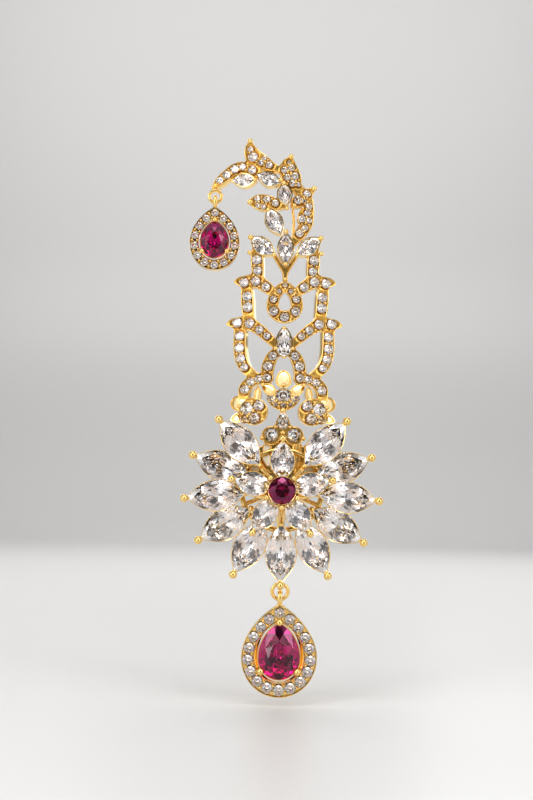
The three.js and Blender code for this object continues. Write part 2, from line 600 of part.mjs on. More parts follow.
function dropSolid(drop, name) {
  const { halo, hole, bail, ring } = drop;
  const [front, back] = [-halo.depth / 2, halo.depth / 2];
  const outer = outline({ shape: "pear", ...halo }, 0, HALO_SIDES);
  const inner = outline({ shape: "pear", ...hole }, 0, HALO_SIDES);
  const wallRings = [ringAt(outer, front), ringAt(outer, back), ringAt(inner, back), ringAt(inner, front)];
  const wall = solid(loft(wallRings, true));
  const middle = outer.map(([x, z], i) => [(x + inner[i][0]) / 2, (z + inner[i][1]) / 2]);
  const fromTop = [...middle.slice(HALO_SIDES / 4), ...middle.slice(0, HALO_SIDES / 4)];
  const places = spaced(fromTop, drop.pave.count);
  const stones = places.map((place) => {
    const low = (halo.top - place.z) / (halo.top + halo.bottom);
    const radius = drop.pave.small + (drop.pave.large - drop.pave.small) * low;
    return moved(paveStone(radius), new THREE.Matrix4().makeTranslation(place.x, front, place.z));
  });
  const railFront = drop.stone.girdle + DROP_RAIL.below;
  const railWall = solid(loft([
    ringAt(outline(drop.stone, DROP_RAIL.rim), railFront),
    ringAt(outline(drop.stone, -DROP_RAIL.backOuter), back),
    ringAt(outline(drop.stone, -DROP_RAIL.backInner), back),
    ringAt(outline(drop.stone, -DROP_RAIL.inside), railFront),
  ], true));
  const seat = new THREE.Matrix4().makeTranslation(0, drop.stone.girdle, 0);
  const pocket = moved(gem(drop.stone, SEAT_GAP), seat);
  const claws = drop.prongs.flatMap(({ x, z }) => {
    const reach = new THREE.Vector2(x, z).length();
    const arm = new THREE.BoxGeometry(CLAW.arm.x, CLAW.arm.y, drop.hole.halfWidth * CLAW.reachShare);
    arm.translate(0, back - CLAW.arm.y / 2, reach - CLAW.inwards);
    const place = new THREE.Matrix4().makeTranslation(x, drop.stone.girdle - CLAW.proud, z);
    const head = moved(prong(drop.prongBead, back - drop.stone.girdle - CLAW.short), place);
    return [solid(arm.rotateY(Math.atan2(x, z))), head.subtract(pocket)];
  });
  const body = union([wall, ...stones, railWall, ...claws]);
  const bailLoop = new THREE.TorusGeometry(bail.radius, bail.wire, BEAD_SIDES, BAIL_SIDES)
    .scale(1, (bail.tall + bail.wire) / (bail.radius + bail.wire), bail.width / (2 * bail.wire))
    .rotateY(Math.PI / 2)
    .translate(ring.x, ring.y, ring.z - bail.below);
  return largest(moved(body, dropPlace(drop)).add(solid(bailLoop)), name);
}

function dropStone(drop) {
  const seat = new THREE.Matrix4().makeTranslation(0, drop.stone.girdle, 0);
  return moved(moved(gem(drop.stone), seat), dropPlace(drop));
}

// ---- The pin -------------------------------------------------------------------------------------------
function pinSolid() {
  const footBack = FRAME.back + PIN.footGap;
  const foot = new THREE.BoxGeometry(PIN.foot.x, PIN.foot.y, PIN.foot.z);
  foot.translate(0, footBack + PIN.foot.y / 2, PIN.footZ);
  const arm = new THREE.BoxGeometry(PIN.arm.x, PIN.radius - footBack, PIN.arm.z);
  arm.translate(0, (PIN.radius + footBack) / 2, PIN.top - PIN.arm.z / 2);
  const profile = [
    [0, PIN.bottom],
    [PIN.tip, PIN.bottom + PIN.tipLength],
    [PIN.radius, PIN.bottom + PIN.taper],
    [PIN.radius, PIN.top],
    [0, PIN.top],
  ];
  const shank = new THREE.LatheGeometry(profile.map(([r, z]) => new THREE.Vector2(r, z)), LATHE_SIDES);
  return union([solid(foot), solid(arm), solid(shank.rotateX(Math.PI / 2))]);
}

// ---- The assembly --------------------------------------------------------------------------------------
const gold = new THREE.MeshStandardMaterial({ color: 0xe6b446, roughness: 0.22, metalness: 1 });
const clear = new THREE.MeshStandardMaterial({ color: 0xf2f0ee, roughness: 0.05, metalness: 0 });
const red = new THREE.MeshStandardMaterial({ color: 0xb4005a, roughness: 0.05, metalness: 0 });

const sarpech = new THREE.Group();
function addPiece(name, made, material) {
  const { vertProperties, triVerts, numProp } = made.getMesh();
  const position = new Float32Array((vertProperties.length / numProp) * 3);
  for (let i = 0; i < position.length / 3; i++) {
    position.set(vertProperties.subarray(i * numProp, i * numProp + 3), i * 3);
  }
  const geometry = new THREE.BufferGeometry();
  geometry.setAttribute("position", new THREE.BufferAttribute(position, 3));
  geometry.setIndex(new THREE.BufferAttribute(new Uint32Array(triVerts), 1));
  geometry.computeVertexNormals();
  const piece = new THREE.Mesh(geometry, material);
  piece.name = name;
  sarpech.add(piece);
}

addPiece("openwork_frame", frameSolid(), gold);
addPiece("flower_setting", flowerSolid(), gold);
addPiece("main_drop_setting", dropSolid(MAIN_DROP, "main drop"), gold);
addPiece("crest_drop_setting", dropSolid(CREST_DROP, "crest drop"), gold);
addPiece("back_pin", pinSolid(), gold);
for (const { name, spec, matrix } of frameStones) {
  addPiece(name, bent(moved(gem(spec, 0, SMALL_GEM_SIDES), matrix)), clear);
}
for (const { name, spec, sides, matrix } of [...outerPetals, ...innerPetals]) {
  addPiece(name, moved(gem(spec, 0, sides), matrix), clear);
}
addPiece(rubyRound.name, moved(gem(RUBY), rubyRound.matrix), red);
addPiece("main_drop_ruby", dropStone(MAIN_DROP), red);
addPiece("crest_drop_ruby", dropStone(CREST_DROP), red);

export default sarpech;
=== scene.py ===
"""The looks of a sarpech, a turban jewel of cast openwork, pave stones, a marquise flower and two pear drops.

Sizes are in millimetres and are turned to metres when a piece is made. The front faces -Y, +Z is up, X = 0 is
the axis and Z = 0 the flower's centre.
"""

import math

import bmesh
import bpy
import numpy as np
from mathutils import Matrix, Vector


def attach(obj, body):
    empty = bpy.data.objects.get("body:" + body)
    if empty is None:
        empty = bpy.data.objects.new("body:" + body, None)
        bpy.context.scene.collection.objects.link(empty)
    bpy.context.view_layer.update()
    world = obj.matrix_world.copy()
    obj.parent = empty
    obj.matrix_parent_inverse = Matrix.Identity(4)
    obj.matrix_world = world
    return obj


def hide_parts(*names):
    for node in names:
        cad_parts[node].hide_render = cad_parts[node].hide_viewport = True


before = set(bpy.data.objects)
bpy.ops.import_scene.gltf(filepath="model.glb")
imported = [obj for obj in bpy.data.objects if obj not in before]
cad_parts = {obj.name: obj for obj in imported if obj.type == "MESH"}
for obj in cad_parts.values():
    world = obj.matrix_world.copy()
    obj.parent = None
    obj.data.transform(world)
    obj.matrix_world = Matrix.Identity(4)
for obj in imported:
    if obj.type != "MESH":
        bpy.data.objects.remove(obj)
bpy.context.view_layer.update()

# ---- Sizes ----------------------------------------------------------------------------------------------
MM = 0.001
BEND_RADIUS = 38.0  # the openwork curves back from the axis
FRONT, BACK = -8.0, -5.8
CLUSTER_FRONT = -8.7
CROWN_FRONT = -8.5
GIRDLE = 0.12
SHARP_ANGLE = math.radians(40)  # a smooth surface keeps its edges above this angle

FLOWER = {
    "girdle": -10.6, "lowered": 1.3, "tilt": 8, "tip_bead": 0.9, "inner_bead": 0.62, "half_length": 5.85,
    "basket_depth": 2.3, "tucked_depth": 0.8, "tip_gap": 0.1,
    "ring_radius": 8.6, "ring_depth": -8.6, "ring_wire": 0.6,
}
OUTER_STONE = {"shape": "marquise", "length": 6.25, "width": 3.28, "crown": 1.2, "pavilion": 2.7}
OUTER_PETALS = [  # name, angle, tip bead's radius from the centre, tucked behind, inner bead
    ("upper", 47.4, 20.2, 0, 1),
    ("shoulder", 20.6, 20.5, 1, 1),
    ("side", -5.6, 20.9, 0, 1),
    ("low", -31.9, 20.9, 1, 1),
    ("lower", -60.9, 20.8, 0, 0),
    ("bottom", -90.0, 20.4, 0, 1),
]
# Small framed panes behind the top of the flower, each by its corners' x and z, and the ribbed column.
PANES = [
    [(-2.4, 4.9), (-2.3, 9.9), (-4.2, 9.9), (-4.4, 6.4), (-3.4, 4.9)],
    [(-4.9, 3.6), (-4.9, 5.2), (-8.6, 5.6), (-8.6, 4.4)],
    [(4.6, 6.4), (4.6, 9.8), (6.2, 9.8), (6.2, 7.4)],
    [(2.6, 3.0), (2.6, 4.8), (8.6, 5.6), (8.6, 4.4)],
]
PANE = {"front": -8.9, "back": -7.6, "border": 0.4, "lean": 0.35}
COLUMN = {"places": (2.5, 3.15, 3.8), "reach": (4.9, 9.9), "front": -8.2, "radius": 0.4}
PLATE = {"radius": 10.4, "bottom": -0.6, "front": -7.7}
INNER_STONE = {"shape": "marquise", "length": 4.2, "width": 2.52, "crown": 0.95, "pavilion": 2.0}
INNER = {
    "girdle": -14.3, "tilt": 10, "middle": 6.2, "bead": 10.92, "bead_radius": 0.77, "basket_depth": 1.2,
    "post_at": 3.6, "post_radius": 0.55, "post_sunk": 0.5, "post_middle": -11.5,
}
INNER_ANGLES = {"top": 90, "right": 12, "lower_right": -56, "lower_left": -124, "left": 168}
RUBY = {"shape": "round", "length": 2.85, "width": 2.85, "crown": 0.9, "pavilion": 2.6}
RUBY_GIRDLE = -16.45
RUBY_BEADS = {"angles": (46.4, 133.6, 205.4, 270, 334.6), "radius": 3.55, "bead": 0.6}
HUB = {"stem": 1.6, "base": 4.4}
SPOKES = {"angles": (51, 129, 202, 270, 338), "reach": (0.5, 4.5, 8.6), "radius": 0.5}
# Curved ribs from the round stone's beads to the inner ends of the outer petals: both angles, and the reach.
RIBS = [(46.4, 47.4, 8.4), (133.6, 132.6, 8.4), (-25.4, -5.6, 8.3), (205.4, 185.6, 8.3), (-90, -90, 7.6)]
RIB_RADII = (0.42, 0.62)  # at the round stone and at the petal

MAIN_DROP = {
    "body": "main_drop", "ring": (0, -8, -21.8), "ring_radius": 1.7, "ring_wire": 0.4,
    "bail": {"radius": 1.05, "tall": 1.4, "wire": 0.36, "width": 1.07, "below": 1.45},
    "halo": {"shape": "pear", "width": 8.18, "top": 11.6, "bottom": 8.55, "power": 1.8}, "wide": -36, "depth": 2.2,
    "hole": {"shape": "pear", "width": 5.26, "top": 7.6, "bottom": 5.3},
    "ledge": {"shape": "pear", "width": 4.7, "top": 7.6, "bottom": 5.25, "power": 1.2},
    "stone": {"shape": "pear", "width": 4.4, "top": 7.3, "bottom": 4.6, "crown": 1.25, "pavilion": 3.8},
    "girdle": -0.9, "pave": (18, 1.13, 1.23), "prongs": ((0, 7.6), (3.95, -2.9), (-3.95, -2.9)), "prong": 0.84,
}
CREST_DROP = {
    "body": "crest_drop", "ring": (-15.44, -4.2, 63.5), "ring_radius": 1.32, "ring_wire": 0.375,
    "bail": {"radius": 0.9, "tall": 1.2, "wire": 0.3, "width": 0.85, "below": 1.2},
    "halo": {"shape": "pear", "width": 5.45, "top": 7.8, "bottom": 6.0, "power": 1.7}, "wide": 53.4, "depth": 2.0,
    "hole": {"shape": "pear", "width": 3.4, "top": 5.0, "bottom": 3.7},
    "stone": {"shape": "pear", "width": 2.95, "top": 4.5, "bottom": 3.2, "crown": 0.9, "pavilion": 2.5},
    "girdle": -0.8, "pave": (14, 0.86, 0.92), "prongs": ((0, 4.9), (2.7, -1.9), (-2.7, -1.9)), "prong": 0.6,
}
PIN = {"foot": (4, 0.8, 4.4), "foot_z": 11.6, "gap": 0.3, "top": 14.4, "bottom": -16, "radius": 0.9, "tip": 0.35}

# Strands of the lattice on the right, mirrored on the left: x, z and half width along the middle line.
SIDE_STRANDS = {
    "lower_wing": [(12.67, 35.5, 0.1), (11.5, 35.85, 0.85), (10.0, 35.85, 1.3), (7.6, 35.7, 1.4),
                   (5.42, 34.4, 1.25), (3.76, 33.0, 1.15), (1.6, 30.9, 0.8)],
    "outer_strand": [(9.7, 35.6, 1.3), (9.62, 33.06, 1.35), (9.65, 30.5, 1.4), (9.3, 28.2, 1.35),
                     (8.3, 26.1, 1.2), (6.2, 24.3, 1.0)],
    "ogive": [(0.9, 30.2, 0.7), (2.42, 28.8, 1.25), (3.4, 26.6, 1.4), (3.6, 23.8, 1.25)],
    "shoulder": [(3.2, 24.0, 1.0), (5.42, 23.8, 1.15), (7.1, 23.2, 1.2), (8.35, 21.7, 1.35), (8.6, 19.6, 1.1)],
    "middle_vertical": [(8.4, 44.3, 1.1), (8.2, 41.6, 1.35), (8.05, 39.3, 1.35), (7.7, 36.6, 1.2)],
    "upper_wing": [(11.15, 44.66, 0.1), (10.1, 44.85, 0.8), (8.9, 44.8, 1.25), (6.4, 44.9, 1.4),
                   (4.19, 43.7, 1.3), (2.0, 42.0, 0.9)],
    "top_vertical": [(6.0, 45.6, 1.3), (6.0, 47.6, 1.35), (6.15, 49.5, 1.4), (6.1, 52.0, 1.1)],
    "stem_arm": [(2.15, 50.0, 0.5), (1.0, 48.2, 0.5), (0, 46.6, 0.55)],
}
STEM = [(0, 48.8, 0.5), (0, 44.6, 0.6)]
LATTICE_PEAR = {"shape": "pear", "length": 3.0, "width": 1.6, "z": 31.3}
CREST_STRANDS = {
    "right_stem": [(5.2, 62.4, 0.6), (4.75, 60.4, 1.3), (4.2, 58.6, 1.8), (4.4, 57.3, 1.4), (3.4, 55.6, 1.35),
                   (1.4, 53.0, 0.8)],
    "right_leaf": [(1.4, 61.1, 0.6), (2.8, 62.3, 1.45), (4.42, 63.7, 1.2), (5.9, 64.85, 0.35)],
    "left_leaf": [(-1.2, 61.2, 1.0), (-2.7, 61.5, 1.35), (-4.6, 61.7, 1.8), (-6.3, 61.9, 1.5),
                  (-7.79, 61.83, 0.45)],
    "upper_right_leaf": [(0.85, 71.53, 0.35), (0.3, 69.3, 1.85), (1.05, 67.1, 2.1), (1.8, 65.6, 1.5),
                         (3.3, 64.1, 0.9)],
    "top_leaf": [(-8.01, 74.93, 0.35), (-8.0, 73.2, 1.3), (-7.2, 71.6, 1.8), (-5.4, 70.6, 1.55),
                 (-3.7, 69.7, 1.1), (-1.9, 68.9, 0.7)],
    "crescent": [(-16.0, 65.45, 0.45), (-14.53, 66.87, 1.05), (-13.0, 68.0, 1.2), (-11.3, 69.1, 1.3),
                 (-9.5, 69.4, 1.3), (-7.5, 68.7, 1.3), (-5.6, 67.9, 1.0)],
}
# Polished petals of the crown and the side clusters: x, z, half width, reach of the tip and of the round end,
# which way the tip points, front, how much it leans back towards its top, mirrored.
LEAVES = {
    "top_petal": (0, 23.4, 1.75, 2.5, 1.6, 90, -8.5, 0.46, 0),
    "side_petal": (2.95, 21.5, 1.2, 2.0, 1.5, 40, -8.6, 0.5, 1),
    "tall_petal": (5.55, 20.5, 0.85, 1.9, 1.3, 92, -8.3, 0.4, 1),
    "round_leaf": (9.4, 18.5, 1.75, 2.0, 1.9, 27, -8.4, 0.5, 1),
    "pointed_leaf": (9.1, 15.6, 1.2, 2.2, 1.6, -20, -8.4, 0.2, 1),
}
LEAF_POWER = {"round_leaf": 1.0, "top_petal": 1.25}
FAN = {"z": 20.0, "shape": "pear", "width": 3.55, "top": 3.1, "bottom": 1.6, "power": 1.3}
CLUSTER = (6.23, 16.8, 3.0)  # x, z, radius, like the trefoil's lobe
TREFOIL_PEAK = [(0.45, 16.9), (1.15, 15.4), (2.1, 13.2), (2.4, 11.0)]
TREFOIL_LOBE = (2.42, 11.6, 2.08)
BRACE = [(1.5, 60.4), (1.75, 57.6), (1.6, 54.2)]
LOOP = {
    "z": 39.5,
    "outer": {"shape": "pear", "width": 3.97, "top": 5.4, "bottom": 3.65},
    "hole": {"shape": "pear", "width": 1.35, "top": 3.0, "bottom": 1.0},
}

# Pave stones: x, z, girdle radius.
PAVE_SIDES = [
    (10.25, 35.9, 1.04), (7.57, 35.75, 1.07), (5.42, 34.4, 0.92), (3.76, 33.1, 0.8),
    (9.66, 33.06, 1.05), (9.7, 30.5, 1.07), (9.34, 28.2, 1.0), (8.53, 26.3, 0.77),
    (8.16, 41.6, 1.07), (8.05, 39.3, 1.07), (8.9, 44.6, 1.03), (6.39, 44.85, 1.07), (4.19, 43.65, 1.0),
    (6.23, 49.5, 1.1), (6.0, 47.1, 0.85),
    (2.42, 28.8, 1.0), (3.44, 26.6, 1.05), (3.6, 24.1, 0.93),
    (5.42, 23.8, 0.88), (7.1, 23.2, 0.88), (8.32, 21.5, 1.0),
]
PAVE_LOOP = [(2.47, 41.0, 0.8), (2.42, 38.4, 1.03)]
PAVE_AXIS = [(0, 37.2, 1.0), (0, 44.1, 0.6), (1.3, 42.7, 0.55), (-1.3, 42.7, 0.55)]
PAVE_CROWN = [(2.5, 19.5, 1.0), (1.65, 18.35, 0.5), (0, 18.2, 0.62)]
PAVE_CLUSTER = [(5.2, 18.05, 1.15), (6.1, 15.35, 1.18), (8.25, 14.95, 0.86)]
PAVE_CREST = [
    (4.89, 61.1, 0.75), (4.59, 59.65, 0.72), (3.43, 58.4, 0.88), (4.98, 58.05, 0.62), (4.11, 56.4, 0.7),
    (2.95, 55.3, 0.92), (4.42, 63.8, 0.8), (2.55, 62.4, 0.95), (3.75, 62.25, 0.6),
    (-6.3, 62.55, 0.7), (-4.26, 62.5, 0.84), (-2.42, 61.65, 0.75), (-4.98, 60.85, 0.6), (-6.17, 61.2, 0.6),
    (-0.55, 68.75, 0.72), (0.95, 69.3, 0.78), (0.1, 67.2, 0.78), (1.75, 67.5, 0.85), (1.25, 65.9, 0.75),
    (2.6, 65.7, 0.55), (0.45, 70.45, 0.45),
    (-7.98, 73.3, 0.56), (-7.42, 71.6, 0.98), (-5.68, 70.35, 0.68), (-4.94, 71.25, 0.55), (-3.84, 69.84, 0.78),
    (-14.53, 66.87, 0.75), (-13.05, 67.97, 0.86), (-11.35, 69.1, 0.88), (-9.64, 69.55, 0.75),
    (-7.58, 68.8, 0.97), (-2.3, 65.3, 0.5),
]
# Beads on the openwork: x, z, radius, front, mirrored. The front is how far the bead's middle stands proud.
BEADS = [
    (7.62, 50.9, 0.54, 0.4, 1), (7.46, 54.2, 0.6, 0.5, 1), (2.4, 50.4, 0.52, 0.5, 1),
    (0, 17.07, 0.65, 0.7, 0), (0, 55.4, 0.54, 0.5, 0), (0, 48.4, 0.5, 0.5, 0), (0, 45.2, 0.45, 0.4, 0),
    (0, 43.15, 0.28, 0.35, 0), (2.1, 43.0, 0.28, 0.35, 1), (0.9, 43.55, 0.26, 0.35, 1),
    (1.9, 41.95, 0.26, 0.35, 1),
    (5.9, 64.85, 0.64, 0.2, 0), (-7.79, 61.83, 0.64, 0.2, 0), (0.85, 71.53, 0.6, 0.2, 0),
    (-8.01, 74.93, 0.58, 0.2, 0), (-1.25, 66.5, 0.54, 0.5, 0), (-3.9, 60.1, 0.47, 0.4, 0),
    (1.7, 61.1, 0.48, 0.3, 0), (0.1, 60.4, 0.47, 0.5, 0), (-0.6, 65.85, 0.47, 0.5, 0),
    (-6.75, 66.5, 0.47, 0.5, 0), (0, 34.75, 0.43, 0.4, 0), (1.85, 30.4, 0.43, 0.4, 1),
    (0, 28.45, 0.32, 0.3, 0), (4.3, 22.5, 0.5, 0.8, 1), (0, 22.5, 0.43, 1.1, 0),
    (9.25, 17.8, 0.43, 1.0, 1), (6.6, 18.9, 0.4, 1.0, 1), (9.45, 16.1, 0.4, 0.9, 1), (4.3, 15.05, 0.43, 0.9, 1),
    (7.1, 16.2, 0.3, 1.0, 1), (0, 12.25, 0.52, 1.1, 0), (4.36, 11.07, 0.47, 0.9, 1), (1.55, 13.5, 0.32, 1.0, 1),
]
# Larger stones of the openwork: name, shape, x, z, half length, half width, turn, mirrored.
FRAME_STONES = [
    ("trio_centre_stone", "marquise", 0, 51.9, 3.15, 1.55, 90, 0),
    ("trio_stone", "marquise", 5.0, 52.35, 2.95, 1.6, 37, 1),
    ("crest_stone_low", "marquise", -2.57, 57.6, 2.9, 1.7, -64, 0),
    ("crest_stone_middle", "marquise", -0.41, 63.5, 2.2, 1.4, -80, 0),
    ("crest_stone_upper", "marquise", -3.9, 66.75, 2.5, 1.4, -21, 0),
    ("crest_stone_left", "marquise", -9.27, 66.6, 2.35, 1.3, 0, 0),
    ("lattice_pear", "pear", 0, 31.3, 3.0, 1.6, 90, 0),
    ("crown_round", "round", 0, 20.25, 1.58, 1.58, 90, 0),
    ("cluster_round", "round", 7.7, 17.4, 1.36, 1.36, 90, 1),
    ("trefoil_pear", "pear", 0, 14.45, 1.85, 1.35, 90, 0),
    ("trefoil_round", "round", 2.42, 11.8, 1.43, 1.43, 90, 1),
]
RAISED_STONES = ("cluster_round", "trefoil_pear", "trefoil_round", "crown_round")


# ---- Gathering surfaces into pieces ---------------------------------------------------------------------
def new_object(name, data):
    made = bpy.data.objects.new(name, data)
    bpy.context.scene.collection.objects.link(made)
    return made


class Surface:
    """Points in millimetres with their faces, gathered until the piece is made."""

    def __init__(self):
        self.points, self.faces, self.tones, self.count = [], [], [], 0

    def add(self, shape, *moves, tones=()):
        """Adds a shape, which is points and faces, once each move has been made to its points."""
        points, faces = shape
        for move in moves:
            points = move(points)
        points = np.asarray(points, float).reshape(-1, 3)
        self.points.append(points)
        self.faces.extend(tuple(int(i) + self.count for i in face) for face in faces)
        self.tones.extend(tones)
        self.count += len(points)

    def piece(self, name, material, body, slot, replaced=(), faceted=False):
        mesh = bpy.data.meshes.new(name)
        mesh.from_pydata((np.vstack(self.points) * MM).tolist(), [], self.faces)
        if self.tones:
            layer = mesh.color_attributes.new("tone", "FLOAT_COLOR", "CORNER")
            sizes = [len(face) for face in self.faces]
            layer.data.foreach_set("color", np.repeat(np.array(self.tones), sizes, axis=0).ravel())
        fix = bmesh.new()
        fix.from_mesh(mesh)
        if faceted:
            bmesh.ops.remove_doubles(fix, verts=fix.verts, dist=1e-7)
        bmesh.ops.recalc_face_normals(fix, faces=fix.faces)
        fix.to_mesh(mesh)
        fix.free()
        mesh.polygons.foreach_set("use_smooth", [not faceted] * len(mesh.polygons))
        if not faceted:
            mesh.set_sharp_from_angle(angle=SHARP_ANGLE)
        mesh.materials.append(material)
        made = new_object(name, mesh)
        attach(made, body)
        if replaced:
            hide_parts(*replaced)


def place(matrix, points):
    """Points moved by a 4 by 4 matrix."""
    array = np.array(matrix)
    return np.asarray(points, float) @ array[:3, :3].T + array[:3, 3]


def placed(matrix):
    return lambda points: place(matrix, points)


def shifted(x, y, z):
    return lambda points: points + [x, y, z]


def bent(points):
    """Flat-made points rolled back towards the sides, square to the curve of the openwork's front."""
    points = np.array(points, float).reshape(-1, 3)
    x, behind = points[:, 0], points[:, 1] - FRONT
    slope = x / BEND_RADIUS
    sag = BEND_RADIUS - np.sqrt(BEND_RADIUS**2 - x**2)
    points[:, 1] = FRONT + sag + behind * np.sqrt(1 - slope**2)
    points[:, 0] = x - behind * slope
    return points


# ---- Shapes ---------------------------------------------------------------------------------------------
PEAR_POWER = 1.45


def outline(spec, grow=0.0, count=48, shift=0.0):
    """An outline's points in the XZ plane, starting on +X and running towards the tip at +Z."""
    angle = (np.arange(count) + shift) / count * 2 * math.pi
    c, s = np.cos(angle), np.sin(angle)
    return outline_at(spec, c, s, grow)


def outline_at(spec, c, s, grow=0.0):
    width = spec["width"] + grow
    if spec["shape"] == "marquise":
        x, z = width * np.sign(c) * c * c, (spec["length"] + 1.4 * grow) * s
    elif spec["shape"] == "round":
        x, z = width * c, width * s
    else:
        top = spec.get("top", spec.get("length", 0) * 1.15) + 1.2 * grow
        bottom = spec.get("bottom", spec.get("length", 0) * 0.85) + grow
        power = spec.get("power", PEAR_POWER)
        x = width * np.where(s > 0, np.sign(c) * np.abs(c) ** power, c)
        z = np.where(s > 0, top, bottom) * s
    return np.stack([x, z], axis=1)


def ring_at(points, y, scale=1.0):
    """An outline's points at a depth y, made larger or smaller about the middle."""
    return np.stack([points[:, 0] * scale, np.full(len(points), float(y)), points[:, 1] * scale], axis=1)


def loft(rings, cyclic=False):
    """Points and quads through rings of equal length, capped at both ends or run round on itself."""
    rings = [np.asarray(ring, float) for ring in rings]
    sides = len(rings[0])
    faces = []
    for i in range(len(rings) if cyclic else len(rings) - 1):
        low, high = i * sides, (i + 1) % len(rings) * sides
        faces.extend(strip(low, high, sides))
    if not cyclic:
        faces.append(tuple(range(sides)))
        faces.append(tuple(range((len(rings) - 1) * sides, len(rings) * sides)))
    return np.vstack(rings), faces


def strip(low, high, sides):
    """The quads between two rings of points that start at the numbers low and high."""
    following = [(k + 1) % sides for k in range(sides)]
    return [(low + k, low + j, high + j, high + k) for k, j in enumerate(following)]


def band(spec, profile, count=48):
    """A closed band along an outline; its profile is how far out from the outline, and y."""
    return loft([ring_at(outline(spec, grow, count), y) for grow, y in profile], cyclic=True)


def lathe(profile, sides=16):
    """A profile of (radius, y) turned round the Y axis; it starts and ends on the axis."""
    points, faces = [(0, profile[0][1], 0)], []
    for radius, y in profile[1:-1]:
        for k in range(sides):
            turn = 2 * math.pi * k / sides
            points.append((radius * math.cos(turn), y, radius * math.sin(turn)))
    points.append((0, profile[-1][1], 0))
    rings = len(profile) - 2
    last = len(points) - 1
    for k in range(sides):
        following = (k + 1) % sides
        faces.append((0, 1 + k, 1 + following))
        faces.append((last, 1 + (rings - 1) * sides + following, 1 + (rings - 1) * sides + k))
        for i in range(rings - 1):
            low, high = 1 + i * sides, 1 + (i + 1) * sides
            faces.append((low + k, low + following, high + following, high + k))
    return np.array(points, float), faces


def bead(radius, depth, sides=16, neck=0.62):
    """A round bead prong: its head towards -Y with its middle at y = 0, on a neck that reaches back."""
    profile = [(0, -radius)]
    profile += [(radius * math.sin(a), -radius * math.cos(a)) for a in np.radians([18, 36, 54, 72, 90, 108, 126])]
    profile += [(neck * radius, 0.85 * radius), (neck * radius, depth), (0, depth)]
    return lathe(profile, sides)


def tube(path, radii, sides=12):
    """A rod along a path of 3-D points with a radius at each."""
    path = np.asarray(path, float)
    radii = np.broadcast_to(np.asarray(radii, float), len(path))
    turns = 2 * math.pi * np.arange(sides) / sides
    side, rings = None, []
    for point, tangent, radius in zip(path, np.gradient(path, axis=0), radii):
        tangent = tangent / np.linalg.norm(tangent)
        if side is None:
            side = np.cross(tangent, [0, 1, 0] if abs(tangent[1]) < 0.9 else [1, 0, 0])
        side = side - tangent * side.dot(tangent)
        side = side / np.linalg.norm(side)
        other = np.cross(tangent, side)
        rings.append(point + radius * (np.outer(np.cos(turns), side) + np.outer(np.sin(turns), other)))
    return loft(rings)


def torus(centre, radius, wire, normal="Y", stretch=1.0, around=40, sides=14):
    """A ring whose axis is Y, or X for a bail; stretch widens its wire along its axis."""
    tilt = 2 * math.pi * np.arange(sides) / sides
    out, along = radius + wire * np.cos(tilt), wire * stretch * np.sin(tilt)
    rings = []
    for turn in 2 * math.pi * np.arange(around) / around:
        across, up = out * math.cos(turn), out * math.sin(turn)
        ring = [across, along, up] if normal == "Y" else [along, across, up]
        rings.append(np.stack(ring, axis=1) + np.array(centre, float))
    return loft(rings, cyclic=True)


def smooth_line(rows, per=8):
    """A Catmull-Rom line through rows of numbers."""
    rows = np.array(rows, float)
    padded = np.vstack([2 * rows[0] - rows[1], rows, 2 * rows[-1] - rows[-2]])
    line = []
    for a, b, c, d in zip(padded, padded[1:], padded[2:], padded[3:]):
        for t in np.arange(per) / per:
            bow = (2 * a - 5 * b + 4 * c - d) * t * t + (3 * b - a - 3 * c + d) * t**3
            line.append(0.5 * (2 * b + (c - a) * t + bow))
    return np.array(line + [rows[-1]])


# ---- Cut stones -----------------------------------------------------------------------------------------
def facet_ring(spec, angles, y, scale=1.0):
    return ring_at(outline_at(spec, np.cos(angles), np.sin(angles)), y, scale)


def starts_of(rings):
    """The number of each ring's first point."""
    return np.cumsum([0] + [len(ring) for ring in rings])[:-1]


def brilliant(spec, table=0.58, fine=2, girdle=GIRDLE):
    """A brilliant cut in any outline: table, eight stars, eight kites, sixteen upper and lower girdle facets
    and eight pavilion mains. The girdle's front edge is at y = 0 and the table faces -Y."""
    crown, pavilion = spec["crown"], spec["pavilion"]
    middle, low = 0.8, 0.28
    half = math.pi / 8
    mains = 2 * half * np.arange(8)
    steps = 16 * fine
    edge_angles = 2 * math.pi * np.arange(steps) / steps
    rings = [
        facet_ring(spec, mains, -crown, table),
        facet_ring(spec, mains + half, -crown * (1 - middle * math.cos(half)) / (1 - table), middle),
        facet_ring(spec, edge_angles, 0),
        facet_ring(spec, edge_angles, girdle),
        facet_ring(spec, mains + half, girdle + pavilion * (1 - low * math.cos(half)), low),
        [(0, girdle + pavilion, 0)],
    ]
    t0, m0, u0, l0, p0, last = starts_of(rings)
    faces = [tuple(range(8))]
    for k in range(8):
        following, before, edge = (k + 1) % 8, (k - 1) % 8, 2 * k * fine
        faces.append((t0 + k, m0 + k, t0 + following))
        faces.append((t0 + k, m0 + before, u0 + edge, m0 + k))
        faces.append((last, p0 + before, l0 + edge, p0 + k))
        faces += edge_facets(edge, 2 * fine, steps, (m0 + k, u0), (p0 + k, l0))
    return np.vstack(rings), faces + strip(u0, l0, steps)


def edge_facets(edge, count, steps, *fans):
    """The thin triangles from each fan's point to its ring, from the ring's point edge onwards."""
    faces = []
    for j in range(count):
        here, there = (edge + j) % steps, (edge + j + 1) % steps
        faces += [(point, start + here, start + there) for point, start in fans]
    return faces


PAVILION_TIERS = ((0.36, 0.42), (0.68, 0.75), (1.0, 1.0))  # share of the way inwards, share of the depth


